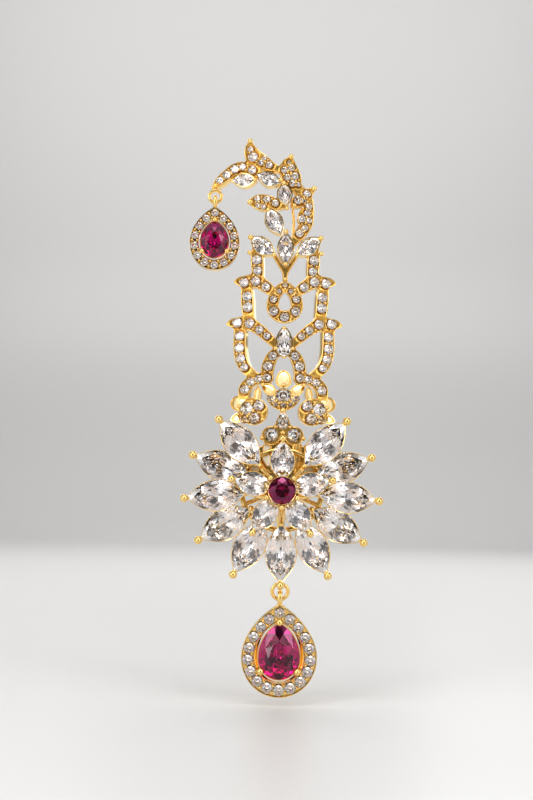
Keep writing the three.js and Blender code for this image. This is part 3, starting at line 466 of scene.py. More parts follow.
def fancy(spec, mains, fine=2, table=0.52, reach=0.3, tip_rise=0.9, girdle=GIRDLE):
    """A marquise or pear brilliant: table, stars and bezels, and a pavilion of staggered tiers that meet along
    a short keel. reach is the keel's share of the length; tip_rise is how much shallower the tips are cut."""
    half = math.pi / mains
    straight = 2 * half * np.arange(mains)
    between = straight + half
    steps = 2 * mains * fine
    edge_angles = 2 * math.pi * np.arange(steps) / steps

    def tier(turn, share, drop):
        """A ring of the pavilion, that share of the way from the edge to the keel."""
        outer = facet_ring(spec, turn, 0)
        z, length = outer[:, 2], np.abs(outer[:, 2]).max()
        round_end = (z < 0) & (spec["shape"] == "pear")
        keel_z = z * np.where(round_end, 0.1, reach)
        keel_y = spec["pavilion"] * (1 - (keel_z / length) ** 2)
        ring = outer * (1 - share) + np.stack([0 * keel_z, keel_y, keel_z], axis=1) * share
        along = np.abs(ring[:, 2]) / length
        ring[:, 1] = girdle + keel_y * drop * (1 - tip_rise * along**2)
        return ring

    crown, middle = spec["crown"], 0.78
    crown_ring = facet_ring(spec, between, -crown * (1 - middle * math.cos(half)) / (1 - table), middle)
    along = np.abs(crown_ring[:, 2]) / np.abs(crown_ring[:, 2]).max()
    crown_ring[:, 1] *= 1 - 0.7 * tip_rise * along**3
    rings = [
        facet_ring(spec, straight, -crown, table),
        crown_ring,
        facet_ring(spec, edge_angles, 0),
        facet_ring(spec, edge_angles, girdle),
        *[tier(turn, share, drop) for turn, (share, drop) in zip((between, straight, between), PAVILION_TIERS)],
    ]
    t0, m0, u0, l0, a0, b0, k0 = starts_of(rings)
    faces = [tuple(range(mains))]
    for k in range(mains):
        following, before, edge = (k + 1) % mains, (k - 1) % mains, 2 * k * fine
        faces += [
            (t0 + k, m0 + k, t0 + following),
            (t0 + k, m0 + before, m0 + k),
            (m0 + before, u0 + edge, m0 + k),
            (a0 + before, l0 + edge, a0 + k),
            (a0 + before, a0 + k, b0 + k),
            (a0 + k, b0 + following, b0 + k),
            (b0 + k, b0 + following, k0 + k),
            (b0 + following, k0 + following, k0 + k),
        ]
        faces += edge_facets(edge, 2 * fine, steps, (m0 + k, u0), (a0 + k, l0))
    return np.vstack(rings), faces + strip(u0, l0, steps)


def cut(spec):
    """The cut that suits the stone's outline; longer marquises have more facets."""
    if spec["shape"] == "round":
        return brilliant(spec, table=0.53)
    if spec["shape"] == "pear":
        return fancy(spec, mains=8, fine=3, reach=0.2, tip_rise=0.3)
    return fancy(spec, mains=16 if spec["length"] > 4 else 12)


# Painted reflections on the facets behind a stone: their share near the middle and near the edge, and their
# colour. The white, grey and warm tones are painted in place of the light and the gold setting that a real stone's
# back facets reflect, and the ruby's lighter and darker reds are painted the same way.
PAINTED_BACK_REFLECTIONS = {
    "clear": [
        (0.44, 0.50, (1.0, 1.0, 1.0)), (0.20, 0.20, (0.93, 0.93, 0.95)), (0.14, 0.34, (1.0, 0.89, 0.80)),
        (0.14, 0.04, (0.76, 0.76, 0.80)), (0.08, 0.0, (0.42, 0.42, 0.46)),
    ],
    "red": [
        (0.0, 0.6, (0.84, 0.0, 0.54)), (0.3, 0.3, (0.66, 0.0, 0.40)), (0.4, 0.1, (0.46, 0.0, 0.26)),
        (0.3, 0.0, (0.32, 0.0, 0.17)),
    ],
}
CROWN_TONES = {"clear": (1.0, 0.99, 0.98), "red": (0.86, 0.0, 0.55)}
# The facets of the front near a long stone's tips, which mostly throw the light straight back. Their colours are
# painted reflections: white, warm and grey in a clear stone, dark red in the ruby.
PAINTED_TIP_REFLECTIONS = {
    "clear": ((1.0, 0.99, 0.98), (1.0, 0.87, 0.76), (0.90, 0.90, 0.93)),
    "red": ((0.36, 0.005, 0.13), (0.46, 0.01, 0.18), (0.28, 0.0, 0.10)),
}
EDGE_SHINE = 0.3  # how much the sloped front facets of a round stone throw straight back
TIP_SHINE = {"clear": 0.85, "red": 0.4}  # the same at a long stone's tips
LONG = 1.3  # a stone is long when its length is more than this many times its width
OUTER_SHARE, TIP_START, TIP_RISE = 1.4, 0.5, 2.2  # how tones change outwards, and where and how fast a tip shines
draws = np.random.default_rng(7)


def facet_tones(points, faces, kind):
    """A colour for each facet. The mirror facets get a painted reflection: these are the facets behind the girdle,
    the sloped front facets of a round stone and the facets near a long stone's tips. All other facets keep the
    stone's own colour. Its fourth number is how much the facet is a mirror: 1 behind the girdle, 0 on the table,
    and a part on the sloped front facets of a round stone and near a long stone's tips."""
    table = PAINTED_BACK_REFLECTIONS[kind]
    near, far = np.array([row[:2] for row in table]).T
    reach = np.abs(points[:, [0, 2]]).max(axis=0)
    is_long = reach[1] > LONG * reach[0]
    tones = []
    for face, draw in zip(faces, draws.random(len(faces))):
        middle = points[list(face)].mean(axis=0)
        out = min(1.0, math.hypot(middle[0] / reach[0], middle[2] / reach[1]) * OUTER_SHARE)
        shares = np.cumsum(near * (1 - out) + far * out)
        pick = int(np.searchsorted(shares / shares[-1], draw))
        along = abs(middle[2]) / reach[1] if is_long else 0.0
        if along:
            mirror = min(TIP_SHINE[kind], max(0.0, (along - TIP_START) * TIP_RISE))
        else:
            is_table = len(face) >= 8
            mirror = 0.0 if is_table else EDGE_SHINE
        # Mirror facets get a painted reflection as their colour. The table and the rest of the front keep the
        # stone's own colour.
        if middle[1] > 0.01:
            tones.append((*table[pick][2], 1.0))
        elif mirror > 0:
            tones.append((*PAINTED_TIP_REFLECTIONS[kind][int(draw * 3) if along else 0], mirror))
        else:
            tones.append((*CROWN_TONES[kind], 0.0))
    return tones


def add_stone(surface, shape, kind, *moves):
    """A cut stone with its facets' tones, which are painted reflections on its mirror facets."""
    surface.add(shape, *moves, tones=facet_tones(*shape, kind))


def stone_piece(name, node, spec, material, body, slot, *moves):
    """A single stone, in place of the CAD node; the slot's first word is the kind of its tones."""
    stone = Surface()
    add_stone(stone, cut(spec), slot.split("_")[0], *moves)
    stone.piece(name, material, body, slot, [node], faceted=True)


def pave_spec(radius):
    return {"shape": "round", "width": radius, "length": radius, "crown": 0.34 * radius, "pavilion": 0.72 * radius}


# ---- Cast openwork --------------------------------------------------------------------------------------
FAR = 10.0  # a distance beyond which nothing counts


class Field:
    """A signed distance, negative inside the metal, on a grid of the XZ plane."""

    def __init__(self, low, high, step=0.11):
        self.step = step
        self.x = np.arange(low[0], high[0], step)
        self.z = np.arange(low[1], high[1], step)
        self.gx, self.gz = np.meshgrid(self.x, self.z, indexing="ij")
        self.value = np.full(self.gx.shape, FAR)

    def join(self, distance, soft=0.35):
        """Adds a shape with a small fillet where it meets the rest."""
        mix = np.clip(0.5 + 0.5 * (distance - self.value) / soft, 0, 1)
        self.value = distance * (1 - mix) + self.value * mix - soft * mix * (1 - mix)

    def strand(self, rows, mirrored=False):
        line = smooth_line(rows)
        line[:, 2] = np.maximum(line[:, 2], 0.08)
        across = np.abs(self.gx) if mirrored else self.gx
        best = np.full(self.gx.shape, FAR)
        for (x0, z0, r0), (x1, z1, r1) in zip(line, line[1:]):
            dx, dz = x1 - x0, z1 - z0
            t = np.clip(((across - x0) * dx + (self.gz - z0) * dz) / (dx * dx + dz * dz), 0, 1)
            away = np.hypot(across - x0 - t * dx, self.gz - z0 - t * dz) - (r0 + (r1 - r0) * t)
            np.minimum(best, away, out=best)
        self.join(best)

    def polygon(self, line):
        """The signed distance to a closed outline."""
        best = np.full(self.gx.shape, 100.0)
        inside = np.zeros(self.gx.shape, bool)
        for (x0, z0), (x1, z1) in zip(line, np.roll(line, -1, axis=0)):
            dx, dz = x1 - x0, z1 - z0
            length = dx * dx + dz * dz
            if length < 1e-12:
                continue
            t = np.clip(((self.gx - x0) * dx + (self.gz - z0) * dz) / length, 0, 1)
            np.minimum(best, np.hypot(self.gx - x0 - t * dx, self.gz - z0 - t * dz), out=best)
            if abs(dz) > 1e-12:
                crosses = (z0 > self.gz) != (z1 > self.gz)
                inside ^= crosses & (self.gx < dx * (self.gz - z0) / dz + x0)
        return np.where(inside, -best, best)

    def twin_discs(self, disc):
        """The distance to a disc, given by x, z and radius, and its mirror image."""
        x, z, radius = disc
        return np.hypot(np.abs(self.gx) - x, self.gz - z) - radius

    def cut(self, distance):
        self.value = np.maximum(self.value, -distance)

    def at(self, points, values=None):
        """The field at points of the plane, by bilinear interpolation."""
        values = self.value if values is None else values
        u = np.clip((points[:, 0] - self.x[0]) / self.step, 0, len(self.x) - 1.001)
        v = np.clip((points[:, 1] - self.z[0]) / self.step, 0, len(self.z) - 1.001)
        i, j = u.astype(int), v.astype(int)
        a, b = u - i, v - j
        low = values[i, j] * (1 - a) + values[i + 1, j] * a
        high = values[i, j + 1] * (1 - a) + values[i + 1, j + 1] * a
        return low * (1 - b) + high * b

    def edges(self, spacing=0.22):
        """Closed lines along the metal's edge, evenly spaced, with the metal on their left."""
        inside = self.value < 0
        code = inside[:-1, :-1] * 1 + inside[1:, :-1] * 2 + inside[1:, 1:] * 4 + inside[:-1, 1:] * 8
        # From one side of a cell to another: 0 low z, 1 high x, 2 high z, 3 low x.
        runs = {
            1: [(0, 3)], 2: [(1, 0)], 4: [(2, 1)], 8: [(3, 2)], 3: [(1, 3)], 6: [(2, 0)], 12: [(3, 1)],
            9: [(0, 2)], 5: [(0, 3), (2, 1)], 10: [(1, 0), (3, 2)], 14: [(3, 0)], 13: [(0, 1)],
            11: [(1, 2)], 7: [(2, 3)],
        }
        sides = {0: ("x", 0, 0), 1: ("z", 1, 0), 2: ("x", 0, 1), 3: ("z", 0, 0)}
        following = {}
        for i, j in np.argwhere((code > 0) & (code < 15)):
            for start, end in runs[int(code[i, j])]:
                keys = [(sides[s][0], i + sides[s][1], j + sides[s][2]) for s in (start, end)]
                following[keys[0]] = keys[1]
        lines = []
        while following:
            key = next(iter(following))
            line = []
            while key in following:
                along, i, j = key
                i2, j2 = (i + 1, j) if along == "x" else (i, j + 1)
                a, b = self.value[i, j], self.value[i2, j2]
                share = a / (a - b)
                line.append((self.x[i] + (self.x[i2] - self.x[i]) * share,
                             self.z[j] + (self.z[j2] - self.z[j]) * share))
                key = following.pop(key)
            lines.append(smoothed(spaced(np.array(line), spacing=spacing)))
        return [line for line in lines if len(line) > 8]


def spaced(line, count=None, spacing=1.0):
    """A closed line resampled at even steps, by their number or their length."""
    closed = np.vstack([line, line[:1]])
    along = np.concatenate([[0], np.cumsum(np.hypot(*np.diff(closed, axis=0).T))])
    count = count or max(6, int(round(along[-1] / spacing)))
    steps = np.arange(count) / count * along[-1]
    return np.stack([np.interp(steps, along, closed[:, axis]) for axis in (0, 1)], axis=1)


def smoothed(line):
    for _ in range(2):
        line = 0.5 * line + 0.25 * (np.roll(line, 1, axis=0) + np.roll(line, -1, axis=0))
    return line


CORNERS = ((0, 0), (1, 0), (1, 1), (0, 1))  # a cell's corners, from one to the next
FLOOR = {"step": 0.22, "inset": 0.14, "sunk": 0.14, "dish": 0.3, "dish_reach": 0.35}
NUDGE = 0.03  # the step that measures a distance's slope
RIM_PROFILE = [  # inwards from the edge, and back from the front; None is the back
    (0.0, None), (-0.03, 0.9), (0.0, 0.24), (0.04, 0.09), (0.11, 0.01), (0.17, -0.02), (0.23, 0.01),
    (0.3, 0.1), (0.34, 0.32), (0.34, None),
]


def openwork(surface, bed, field, front, back, stones=(), bend=bent, windows=None):
    """Cast metal that fills the field: a raised rim along every edge and a sunk floor, opened under stones."""
    width = max(inwards for inwards, _ in RIM_PROFILE)
    for line in field.edges():
        tangent = np.roll(line, -1, axis=0) - np.roll(line, 1, axis=0)
        tangent /= np.hypot(tangent[:, 0], tangent[:, 1])[:, None]
        inwards = np.stack([-tangent[:, 1], tangent[:, 0]], axis=1)
        reach = np.max([-field.at(line + inwards * width * share) for share in (0.4, 0.7, 1.0)], axis=0)
        room = np.clip(reach / (0.85 * width), 0.15, 1)[:, None]
        rings = [
            ring_at(line + inwards * (offset * room), back if depth is None else min(front + depth, back - 0.02))
            for offset, depth in RIM_PROFILE
        ]
        surface.add(loft(rings, cyclic=True), bend)
    floor(bed, field, front, back, stones, bend, windows)


def floor(surface, field, front, back, stones, bend, windows):
    """The sunk floor between the rims, with a hole behind each stone; windows is a distance of the plane."""
    grid = [np.arange(axis[0], axis[-1], FLOOR["step"]) for axis in (field.x, field.z)]
    flat = np.stack(np.meshgrid(*grid, indexing="ij"), axis=-1)

    def clearance(points):
        value = field.at(points) + FLOOR["inset"]
        if windows is not None:
            value = np.maximum(value, -field.at(points, windows))
        for sx, sz, radius in stones:
            value = np.maximum(value, 0.5 * radius - np.hypot(points[:, 0] - sx, points[:, 1] - sz))
        return value

    centres = flat[:-1, :-1] + FLOOR["step"] / 2
    kept = (clearance(centres.reshape(-1, 2)) < 0).reshape(centres.shape[:2])
    wide, tall = kept.shape
    used = np.zeros(flat.shape[:2], int)
    for i, j in CORNERS:
        used[i : i + wide, j : j + tall] += kept

    # The grid's points along the floor's edge are moved onto it.
    edge = (used > 0) & (used < 4)
    points = flat[edge]
    for _ in range(2):
        slope = np.stack([clearance(points + d) - clearance(points - d) for d in NUDGE * np.eye(2)], axis=1)
        slope /= 2 * NUDGE
        size = np.maximum((slope**2).sum(axis=1), 0.2)
        move = np.clip(-clearance(points) / size, -0.5 * FLOOR["step"], 0.5 * FLOOR["step"])
        points = points + slope * move[:, None]
    flat[edge] = points

    chosen = flat[used > 0]
    count = len(chosen)
    depth = np.full(count, FLOOR["sunk"])
    for sx, sz, radius in stones:
        away = np.maximum(np.hypot(chosen[:, 0] - sx, chosen[:, 1] - sz) - radius, 0)
        depth = np.maximum(depth, FLOOR["sunk"] + FLOOR["dish"] * np.exp(-((away / FLOOR["dish_reach"]) ** 2)))
    top = np.stack([chosen[:, 0], front + depth, chosen[:, 1]], axis=1)
    bottom = ring_at(chosen, back - 0.15)
    numbers = np.full(used.shape, -1)
    numbers[used > 0] = np.arange(count)
    faces = []
    for i, j in np.argwhere(kept):
        a, b, c, d = [numbers[i + di, j + dj] for di, dj in CORNERS]
        faces.append((a, b, c, d))
        faces.append((d + count, c + count, b + count, a + count))
        for di, dj, p, q in ((0, -1, a, b), (1, 0, b, c), (0, 1, c, d), (-1, 0, d, a)):
            ni, nj = i + di, j + dj
            if not (0 <= ni < wide and 0 <= nj < tall and kept[ni, nj]):
                faces.append((q, p, p + count, q + count))
    surface.add((np.vstack([top, bottom]), faces), bend)


# A pair of beads: the widest gap between stones that has one, how far its beads stand from the line between the
# stones as a share of the smaller one, how far a bead's middle may lie over a stone, and how proud it is.
BEAD_PAIR = {"gap": 0.75, "out": 0.62, "overlap": 0.12, "proud": 0.14}


def shared_beads(surface, stones, front, bend=bent, size=0.26):
    """Pairs of small prongs between neighbouring pave stones."""
    stones = np.array(stones, float)
    for i, (x0, z0, r0) in enumerate(stones):
        for x1, z1, r1 in stones[i + 1 :]:
            gap = math.hypot(x1 - x0, z1 - z0)
            if gap > r0 + r1 + BEAD_PAIR["gap"]:
                continue
            share = (r0 + (gap - r0 - r1) / 2) / gap
            mx, mz = x0 + (x1 - x0) * share, z0 + (z1 - z0) * share
            out = BEAD_PAIR["out"] * min(r0, r1)
            for sign in (1, -1):
                x = mx - sign * out * (z1 - z0) / gap
                z = mz + sign * out * (x1 - x0) / gap
                clear = np.hypot(stones[:, 0] - x, stones[:, 1] - z) - stones[:, 2]
                if clear.min() >= -BEAD_PAIR["overlap"]:
                    proud = shifted(x, front - BEAD_PAIR["proud"], z)
                    surface.add(bead(size, 0.5, sides=10), proud, bend)


def filled(stones, field, most=1.3, rim=0.3, gap=0.06):
    """Pave stones grown until they meet a rim or a neighbour."""
    places = np.array([row[:2] for row in stones])
    sizes = np.array([row[2] for row in stones], float)
    limits = np.minimum(sizes * most, -field.at(places) - rim)
    for _ in range(12):
        for i, place_here in enumerate(places):
            room = np.hypot(*(places - place_here).T) - sizes - gap
            room[i] = FAR
            sizes[i] = max(sizes[i], min(sizes[i] + 0.03, limits[i], room.min()))
    return [(x, z, size) for (x, z), size in zip(places, sizes)]


def set_pave(gems, stones, front, bend=bent):
    for x, z, radius in stones:
        shape = brilliant(pave_spec(radius), fine=1, girdle=0.05)
        add_stone(gems, shape, "clear", shifted(x, front - 0.02, z), bend)


def bezel(surface, spec, matrix):
    """The thin metal wall round a stone of the openwork, with a rounded lip at the stone's girdle."""
    back = BACK - FRONT + 0.2
    profile = [(0.03, 0.16), (0.06, 0.06), (0.2, 0.04), (0.29, 0.11), (0.32, 0.26), (0.32, back), (-0.03, back)]
    surface.add(band(spec, profile), placed(matrix), bent)


def mirrored(rows):
    return [*rows, *[(-row[0], *row[1:]) for row in rows if row[0] != 0]]


def on_frame(x, z, y, turn=90.0):
    return Matrix.Translation((x, y, z)) @ Matrix.Rotation(math.radians(90 - turn), 4, "Y")


def both_sides(mirrored_too):
    return (("_right", 1), ("_left", -1)) if mirrored_too else (("", 1),)


def frame_stones():
    """Each larger stone of the openwork: node name, its spec and its matrix on the flat frame."""
    found = []
    for name, shape, x, z, length, width, turn, both in FRAME_STONES:
        crown, pavilion = 0.3 * width + 0.08, 0.75 * width
        spec = {"shape": shape, "length": length, "width": width, "crown": crown, "pavilion": pavilion}
        front = CLUSTER_FRONT - 0.2 if name in RAISED_STONES else FRONT - 0.35
        for suffix, side in both_sides(both):
            found.append((name + suffix, spec, on_frame(side * x, z, front, turn if side > 0 else 180 - turn)))
    return found


def footprint(spec, matrix, grow):
    """A stone's outline in the plane of the openwork."""
    return place(matrix, ring_at(outline(spec, grow), 0))[:, [0, 2]]


def windows_in(field, grow=-0.1):
    """The distance to the openings under the larger stones."""
    distance = np.full(field.gx.shape, FAR)
    for _, spec, matrix in frame_stones():
        x, z = matrix.translation.x, matrix.translation.z
        if field.x[0] < x < field.x[-1] and field.z[0] < z < field.z[-1]:
            distance = np.minimum(distance, field.polygon(footprint(spec, matrix, grow)))
    return distance


def set_openwork(metal, bed, gems, field, front, stones, back=BACK, windows=None, extra=(), lift=0.0, size=0.26):
    """Openwork with its pave stones and their beads; extra stones share beads with them."""
    openwork(metal, bed, field, front, back, stones, windows=windows)
    set_pave(gems, stones, front)
    shared_beads(metal, [*stones, *extra], front - lift, size=size)


def lattice(metal, bed, gems):
    field = Field((-13.4, 17.6), (13.4, 53.4))
    for rows in SIDE_STRANDS.values():
        field.strand(rows, mirrored=True)
    field.strand(STEM)
    field.join(field.polygon(outline(LATTICE_PEAR, 0.35) + [0, LATTICE_PEAR["z"]]))
    hole = outline(LOOP["hole"], count=40) + [0, LOOP["z"]]
    field.cut(field.polygon(hole))
    loop = Field((-4.8, 35.0), (4.8, 46.0))
    loop.join(loop.polygon(outline(LOOP["outer"], count=64) + [0, LOOP["z"]]))
    loop.cut(loop.polygon(hole))
    stones = filled(mirrored(PAVE_SIDES), field, most=1.12)
    field.cut(windows_in(field, 0.12))
    set_openwork(metal, bed, gems, field, FRONT, stones)
    set_openwork(metal, bed, gems, loop, FRONT - 0.25, mirrored(PAVE_LOOP) + PAVE_AXIS)


def crest(metal, bed, gems):
    field = Field((-17.4, 51.6), (7.4, 76.2))
    for rows in CREST_STRANDS.values():
        field.strand(rows)
    for name, spec, matrix in frame_stones():
        if name.startswith("crest_stone"):
            field.join(field.polygon(footprint(spec, matrix, 0.2)))
    field.cut(windows_in(field, 0.12))
    set_openwork(metal, bed, gems, field, FRONT, filled(PAVE_CREST, field), size=0.22)
    metal.add(tube(smooth_line([(x, BACK - 0.4, z) for x, z in BRACE]), 0.32), bent)


LEAF_PROFILE = [  # inwards from the edge, and back from the front; None is the back
    (0.05, None), (0.0, 0.3), (0.02, 0.08), (0.07, 0.0), (0.16, 0.0), (0.2, 0.12), (0.22, 0.36), (0.44, 0.36),
    (0.47, 0.14), (0.56, 0.12),
]
# The groove's band takes the darker matte gold: painted shade in the groove.
LEAF_LINE = [(0.225, 0.355), (0.225, 0.17), (0.435, 0.17), (0.435, 0.355)]  # the band in the groove


def leaf_rings(profile, side, x, z, width, tip, round_end, turn, front, lean, power):
    """Outlines of a petal one inside the other, kept outside the cluster it grows from."""
    spec = {"shape": "pear", "width": width, "top": tip, "bottom": round_end, "power": power}
    matrix = on_frame(side * x, z, 0, turn if side > 0 else 180 - turn)
    centre = np.array([side * CLUSTER[0], CLUSTER[1]])
    rings = []
    for inwards, depth in profile:
        y = BACK - 0.1 if depth is None else front + depth
        ring = place(matrix, ring_at(outline(spec, -inwards), y))
        if x > CLUSTER[0]:
            away = ring[:, [0, 2]] - centre
            size = np.hypot(away[:, 0], away[:, 1])
            apart = np.maximum(size, CLUSTER[2] - 0.3 + 0.3 * inwards)
            ring[:, [0, 2]] = centre + away * (apart / size)[:, None]
        if depth is not None:
            ring[:, 1] += lean * (ring[:, 2] - z)
        rings.append(ring)
    return rings


def petals(leaves, bed):
    """Polished petals: a raised rim, a matte line in the groove inside it that is darker by painted shade, and a
    smooth face in the paler gold that is a painted highlight.
    """
    for name, (*shape, both) in LEAVES.items():
        shape.append(LEAF_POWER.get(name, PEAR_POWER))
        for _, side in both_sides(both):
            leaves.add(loft(leaf_rings(LEAF_PROFILE, side, *shape)), bent)
            bed.add(loft(leaf_rings(LEAF_LINE, side, *shape), cyclic=True), bent)


def crown_and_clusters(metal, bed, gems):
    fan = Field((-5.0, 15.8), (5.0, 22.6))
    fan.join(fan.polygon(outline(FAN, count=64) * [1, -1] + [0, FAN["z"]]))
    clusters = Field((-10.6, 12.8), (10.6, 20.8))
    clusters.join(clusters.twin_discs(CLUSTER))
    trefoil = Field((-5.4, 8.2), (5.4, 18.4))
    trefoil.join(trefoil.polygon(TREFOIL_PEAK + [(-x, z) for x, z in reversed(TREFOIL_PEAK)]))
    trefoil.join(trefoil.twin_discs(TREFOIL_LOBE))
    for field, rows, front, raised in (
        (fan, PAVE_CROWN, CROWN_FRONT - 0.25, "crown"),
        (clusters, PAVE_CLUSTER, CLUSTER_FRONT, "cluster_round"),
        (trefoil, [], CLUSTER_FRONT - 0.1, "trefoil"),
    ):
        large = [
            (matrix.translation.x, matrix.translation.z, spec["width"])
            for name, spec, matrix in frame_stones() if name.startswith(raised)
        ]
        windows = windows_in(field)
        set_openwork(metal, bed, gems, field, front, mirrored(rows), BACK - 0.6, windows, large, lift=0.1)


def openwork_frame(metal, bed, pale, leaves, gems):
    lattice(metal, bed, gems)
    crest(metal, bed, gems)
    petals(leaves, bed)
    crown_and_clusters(metal, bed, gems)
    for name, spec, matrix in frame_stones():
        if not name.startswith(RAISED_STONES):
            bezel(metal, spec, matrix)
    for x, z, radius, proud, both in BEADS:
        for _, side in both_sides(both):
            metal.add(bead(radius, 1.2, sides=20), shifted(side * x, FRONT - proud, z), bent)
    half_plate(metal, pale)
    metal.add(drop_ring(CREST_DROP))


def drop_ring(drop):
    return torus(drop["ring"], drop["ring_radius"], drop["ring_wire"])


def leaning(points, middle):
    """Points leant back above the middle height and forwards below it."""
    points = np.array(points, float).reshape(-1, 3)
    points[:, 1] += PANE["lean"] * (points[:, 2] - middle)
    return points


def half_plate(metal, pale):
    """The half disc behind the flower that carries it, with framed panes whose pale colour is a painted
    reflection, and a ribbed column.
    """
    field = Field((-11.2, -1.6), (11.2, 11.2), step=0.2)
    field.value = np.maximum(np.hypot(field.gx, field.gz) - PLATE["radius"], PLATE["bottom"] - field.gz)
    openwork(metal, metal, field, PLATE["front"], BACK, bend=np.asarray)
    for corners in PANES:
        corners = np.array(corners, float)
        pane = Field(corners.min(axis=0) - PANE["border"], corners.max(axis=0) + PANE["border"])
        pane.join(pane.polygon(corners))
        middle = corners[:, 1].mean()
        # Each pane's floor takes the pale gold, whose light colour is a painted reflection.
        openwork(metal, pale, pane, PANE["front"], PANE["back"], bend=lambda points: leaning(points, middle))
    for x in COLUMN["places"]:
        metal.add(tube([(x, COLUMN["front"], z) for z in COLUMN["reach"]], COLUMN["radius"]))


# ---- The flower -----------------------------------------------------------------------------------------
def on_flower(angle, radius, depth, tilt=0.0):
    turn = Matrix.Rotation(math.radians(90 - angle), 4, "Y")
    return turn @ Matrix.Translation((0, depth, radius)) @ Matrix.Rotation(math.radians(-tilt), 4, "X")


def flower_path(*places):
    """Points of the flower, each given by its angle, its distance from the middle and its y."""
    return [tuple(on_flower(angle, radius, y).translation) for angle, radius, y in places]


def outer_petals():
    """Each outer petal: node name, its stone's matrix and middle, its tip bead, tucked behind, inner bead."""
    found = []
    for name, angle, tip, lowered, inner in OUTER_PETALS:
        middle = tip - FLOWER["tip_bead"] - FLOWER["tip_gap"] - FLOWER["half_length"]
        depth = FLOWER["girdle"] + lowered * FLOWER["lowered"]
        for suffix, side in both_sides(name != "bottom"):
            matrix = on_flower(angle if side > 0 else 180 - angle, middle, depth, FLOWER["tilt"])
            found.append(("petal_" + name + suffix, matrix, middle, tip, lowered, inner))
    return found


def inner_petals():
    return [
        ("inner_petal_" + name, on_flower(angle, INNER["middle"], INNER["girdle"], INNER["tilt"]), angle)
        for name, angle in INNER_ANGLES.items()
    ]


def gallery(metal, spec, matrix, depth, posts=10):
    """The open basket behind a petal's stone: a lip, a smaller ring at its foot and posts between them."""
    shares, drops = np.array([(0, 0), *PAVILION_TIERS]).T
    scale = 1.12 - np.interp((depth - 0.6) / spec["pavilion"], drops, shares)
    foot = {**spec, "length": spec["length"] * (scale + 0.04), "width": spec["width"] * scale}
    lip = [(0.01, 0.1), (0.03, 0.0), (0.1, -0.03), (0.16, 0.04), (0.18, 0.4), (0.1, 0.6), (0.0, 0.5)]
    base = [(0.12, depth - 0.5), (0.12, depth), (-0.3, depth), (-0.3, depth - 0.4), (-0.05, depth - 0.5)]
    metal.add(band(spec, lip), placed(matrix))
    metal.add(band(foot, base), placed(matrix))
    top = ring_at(outline(spec, 0.06, posts, 0.5), 0.45)
    bottom = ring_at(outline(foot, 0.0, posts, 0.5), depth - 0.2)
    for start, end in zip(top, bottom):
        metal.add(tube([start, (start + end) / 2, end], 0.24, sides=8), placed(matrix))


def petal_bead(metal, radius, depth, along, matrix):
    metal.add(bead(radius, depth, sides=24), shifted(0, -0.5 * radius, along), placed(matrix))


def flower_setting(metal):
    ring_depth = FLOWER["ring_depth"]
    for _, matrix, middle, tip, lowered, inner in outer_petals():
        depth = FLOWER["basket_depth"] - FLOWER["tucked_depth"] * lowered
        gallery(metal, OUTER_STONE, matrix, depth)
        petal_bead(metal, FLOWER["tip_bead"], depth + 0.3, tip - middle, matrix)
        if inner:
            along = -FLOWER["half_length"] - FLOWER["inner_bead"] - FLOWER["tip_gap"]
            petal_bead(metal, FLOWER["inner_bead"], depth, along, matrix)
    for _, matrix, angle in inner_petals():
        gallery(metal, INNER_STONE, matrix, INNER["basket_depth"], posts=8)
        petal_bead(metal, INNER["bead_radius"], 1.3, INNER["bead"] - INNER["middle"], matrix)
        heights = (INNER["girdle"] + INNER["post_sunk"], INNER["post_middle"], ring_depth)
        metal.add(tube(flower_path(*[(angle, INNER["post_at"], y) for y in heights]), INNER["post_radius"]))
    for angle in RUBY_BEADS["angles"]:
        matrix = on_flower(angle, RUBY_BEADS["radius"], RUBY_GIRDLE - 0.3)
        metal.add(bead(RUBY_BEADS["bead"], 1.4, sides=24), placed(matrix))
    ruby_cup(metal)
    for angle in SPOKES["angles"]:
        metal.add(tube(flower_path(*[(angle, r, ring_depth) for r in SPOKES["reach"]]), SPOKES["radius"]))
    metal.add(torus((0, ring_depth, 0), FLOWER["ring_radius"], FLOWER["ring_wire"], around=96))
    metal.add(drop_ring(MAIN_DROP))
    for start, end, reach in RIBS:
        foot, bow = (start, 3.3, RUBY_GIRDLE + 1.2), ((start + end) / 2, 5.0, -13.0)
        line = smooth_line(flower_path(foot, bow, (end, reach - 1.0, -10.4), (end, reach, -9.6)), per=6)
        metal.add(tube(line, np.linspace(*RIB_RADII, len(line))))


def ruby_cup(metal):
    """The round stone's cup, its stem and the base that carries the inner petals."""
    width, back = RUBY["width"], FLOWER["ring_depth"] + 0.5
    cup = width + 0.14
    profile = [
        (0, 2.9), (width - 0.3, 0.45), (width + 0.02, 0.12), (width + 0.05, 0), (cup - 0.04, -0.02), (cup, 0.12),
        (cup - 0.1, 0.5), (2.2, 0.95), (HUB["stem"], 2.6),
    ]
    profile = [(radius, RUBY_GIRDLE + y) for radius, y in profile]
    profile += [(HUB["stem"], back - 1.3), (HUB["base"], back - 1.1), (HUB["base"], back), (0, back)]
    metal.add(lathe(profile, sides=48))


# ---- The drops ------------------------------------------------------------------------------------------
def halo_stones(drop):
    """Stones along the middle of the halo, larger towards its foot: x, z, girdle radius."""
    rim, (count, small, large) = drop["halo"], drop["pave"]
    line = np.roll((outline(rim, 0, 96) + outline(drop["hole"], 0, 96)) / 2, -24, axis=0)
    stones = []
    for x, z in spaced(line, count):
        radius = small + (large - small) * (rim["top"] - z) / (rim["top"] + rim["bottom"])
        stones.append((x + drop["ring"][0], z + drop["wide"], radius))
    return stones


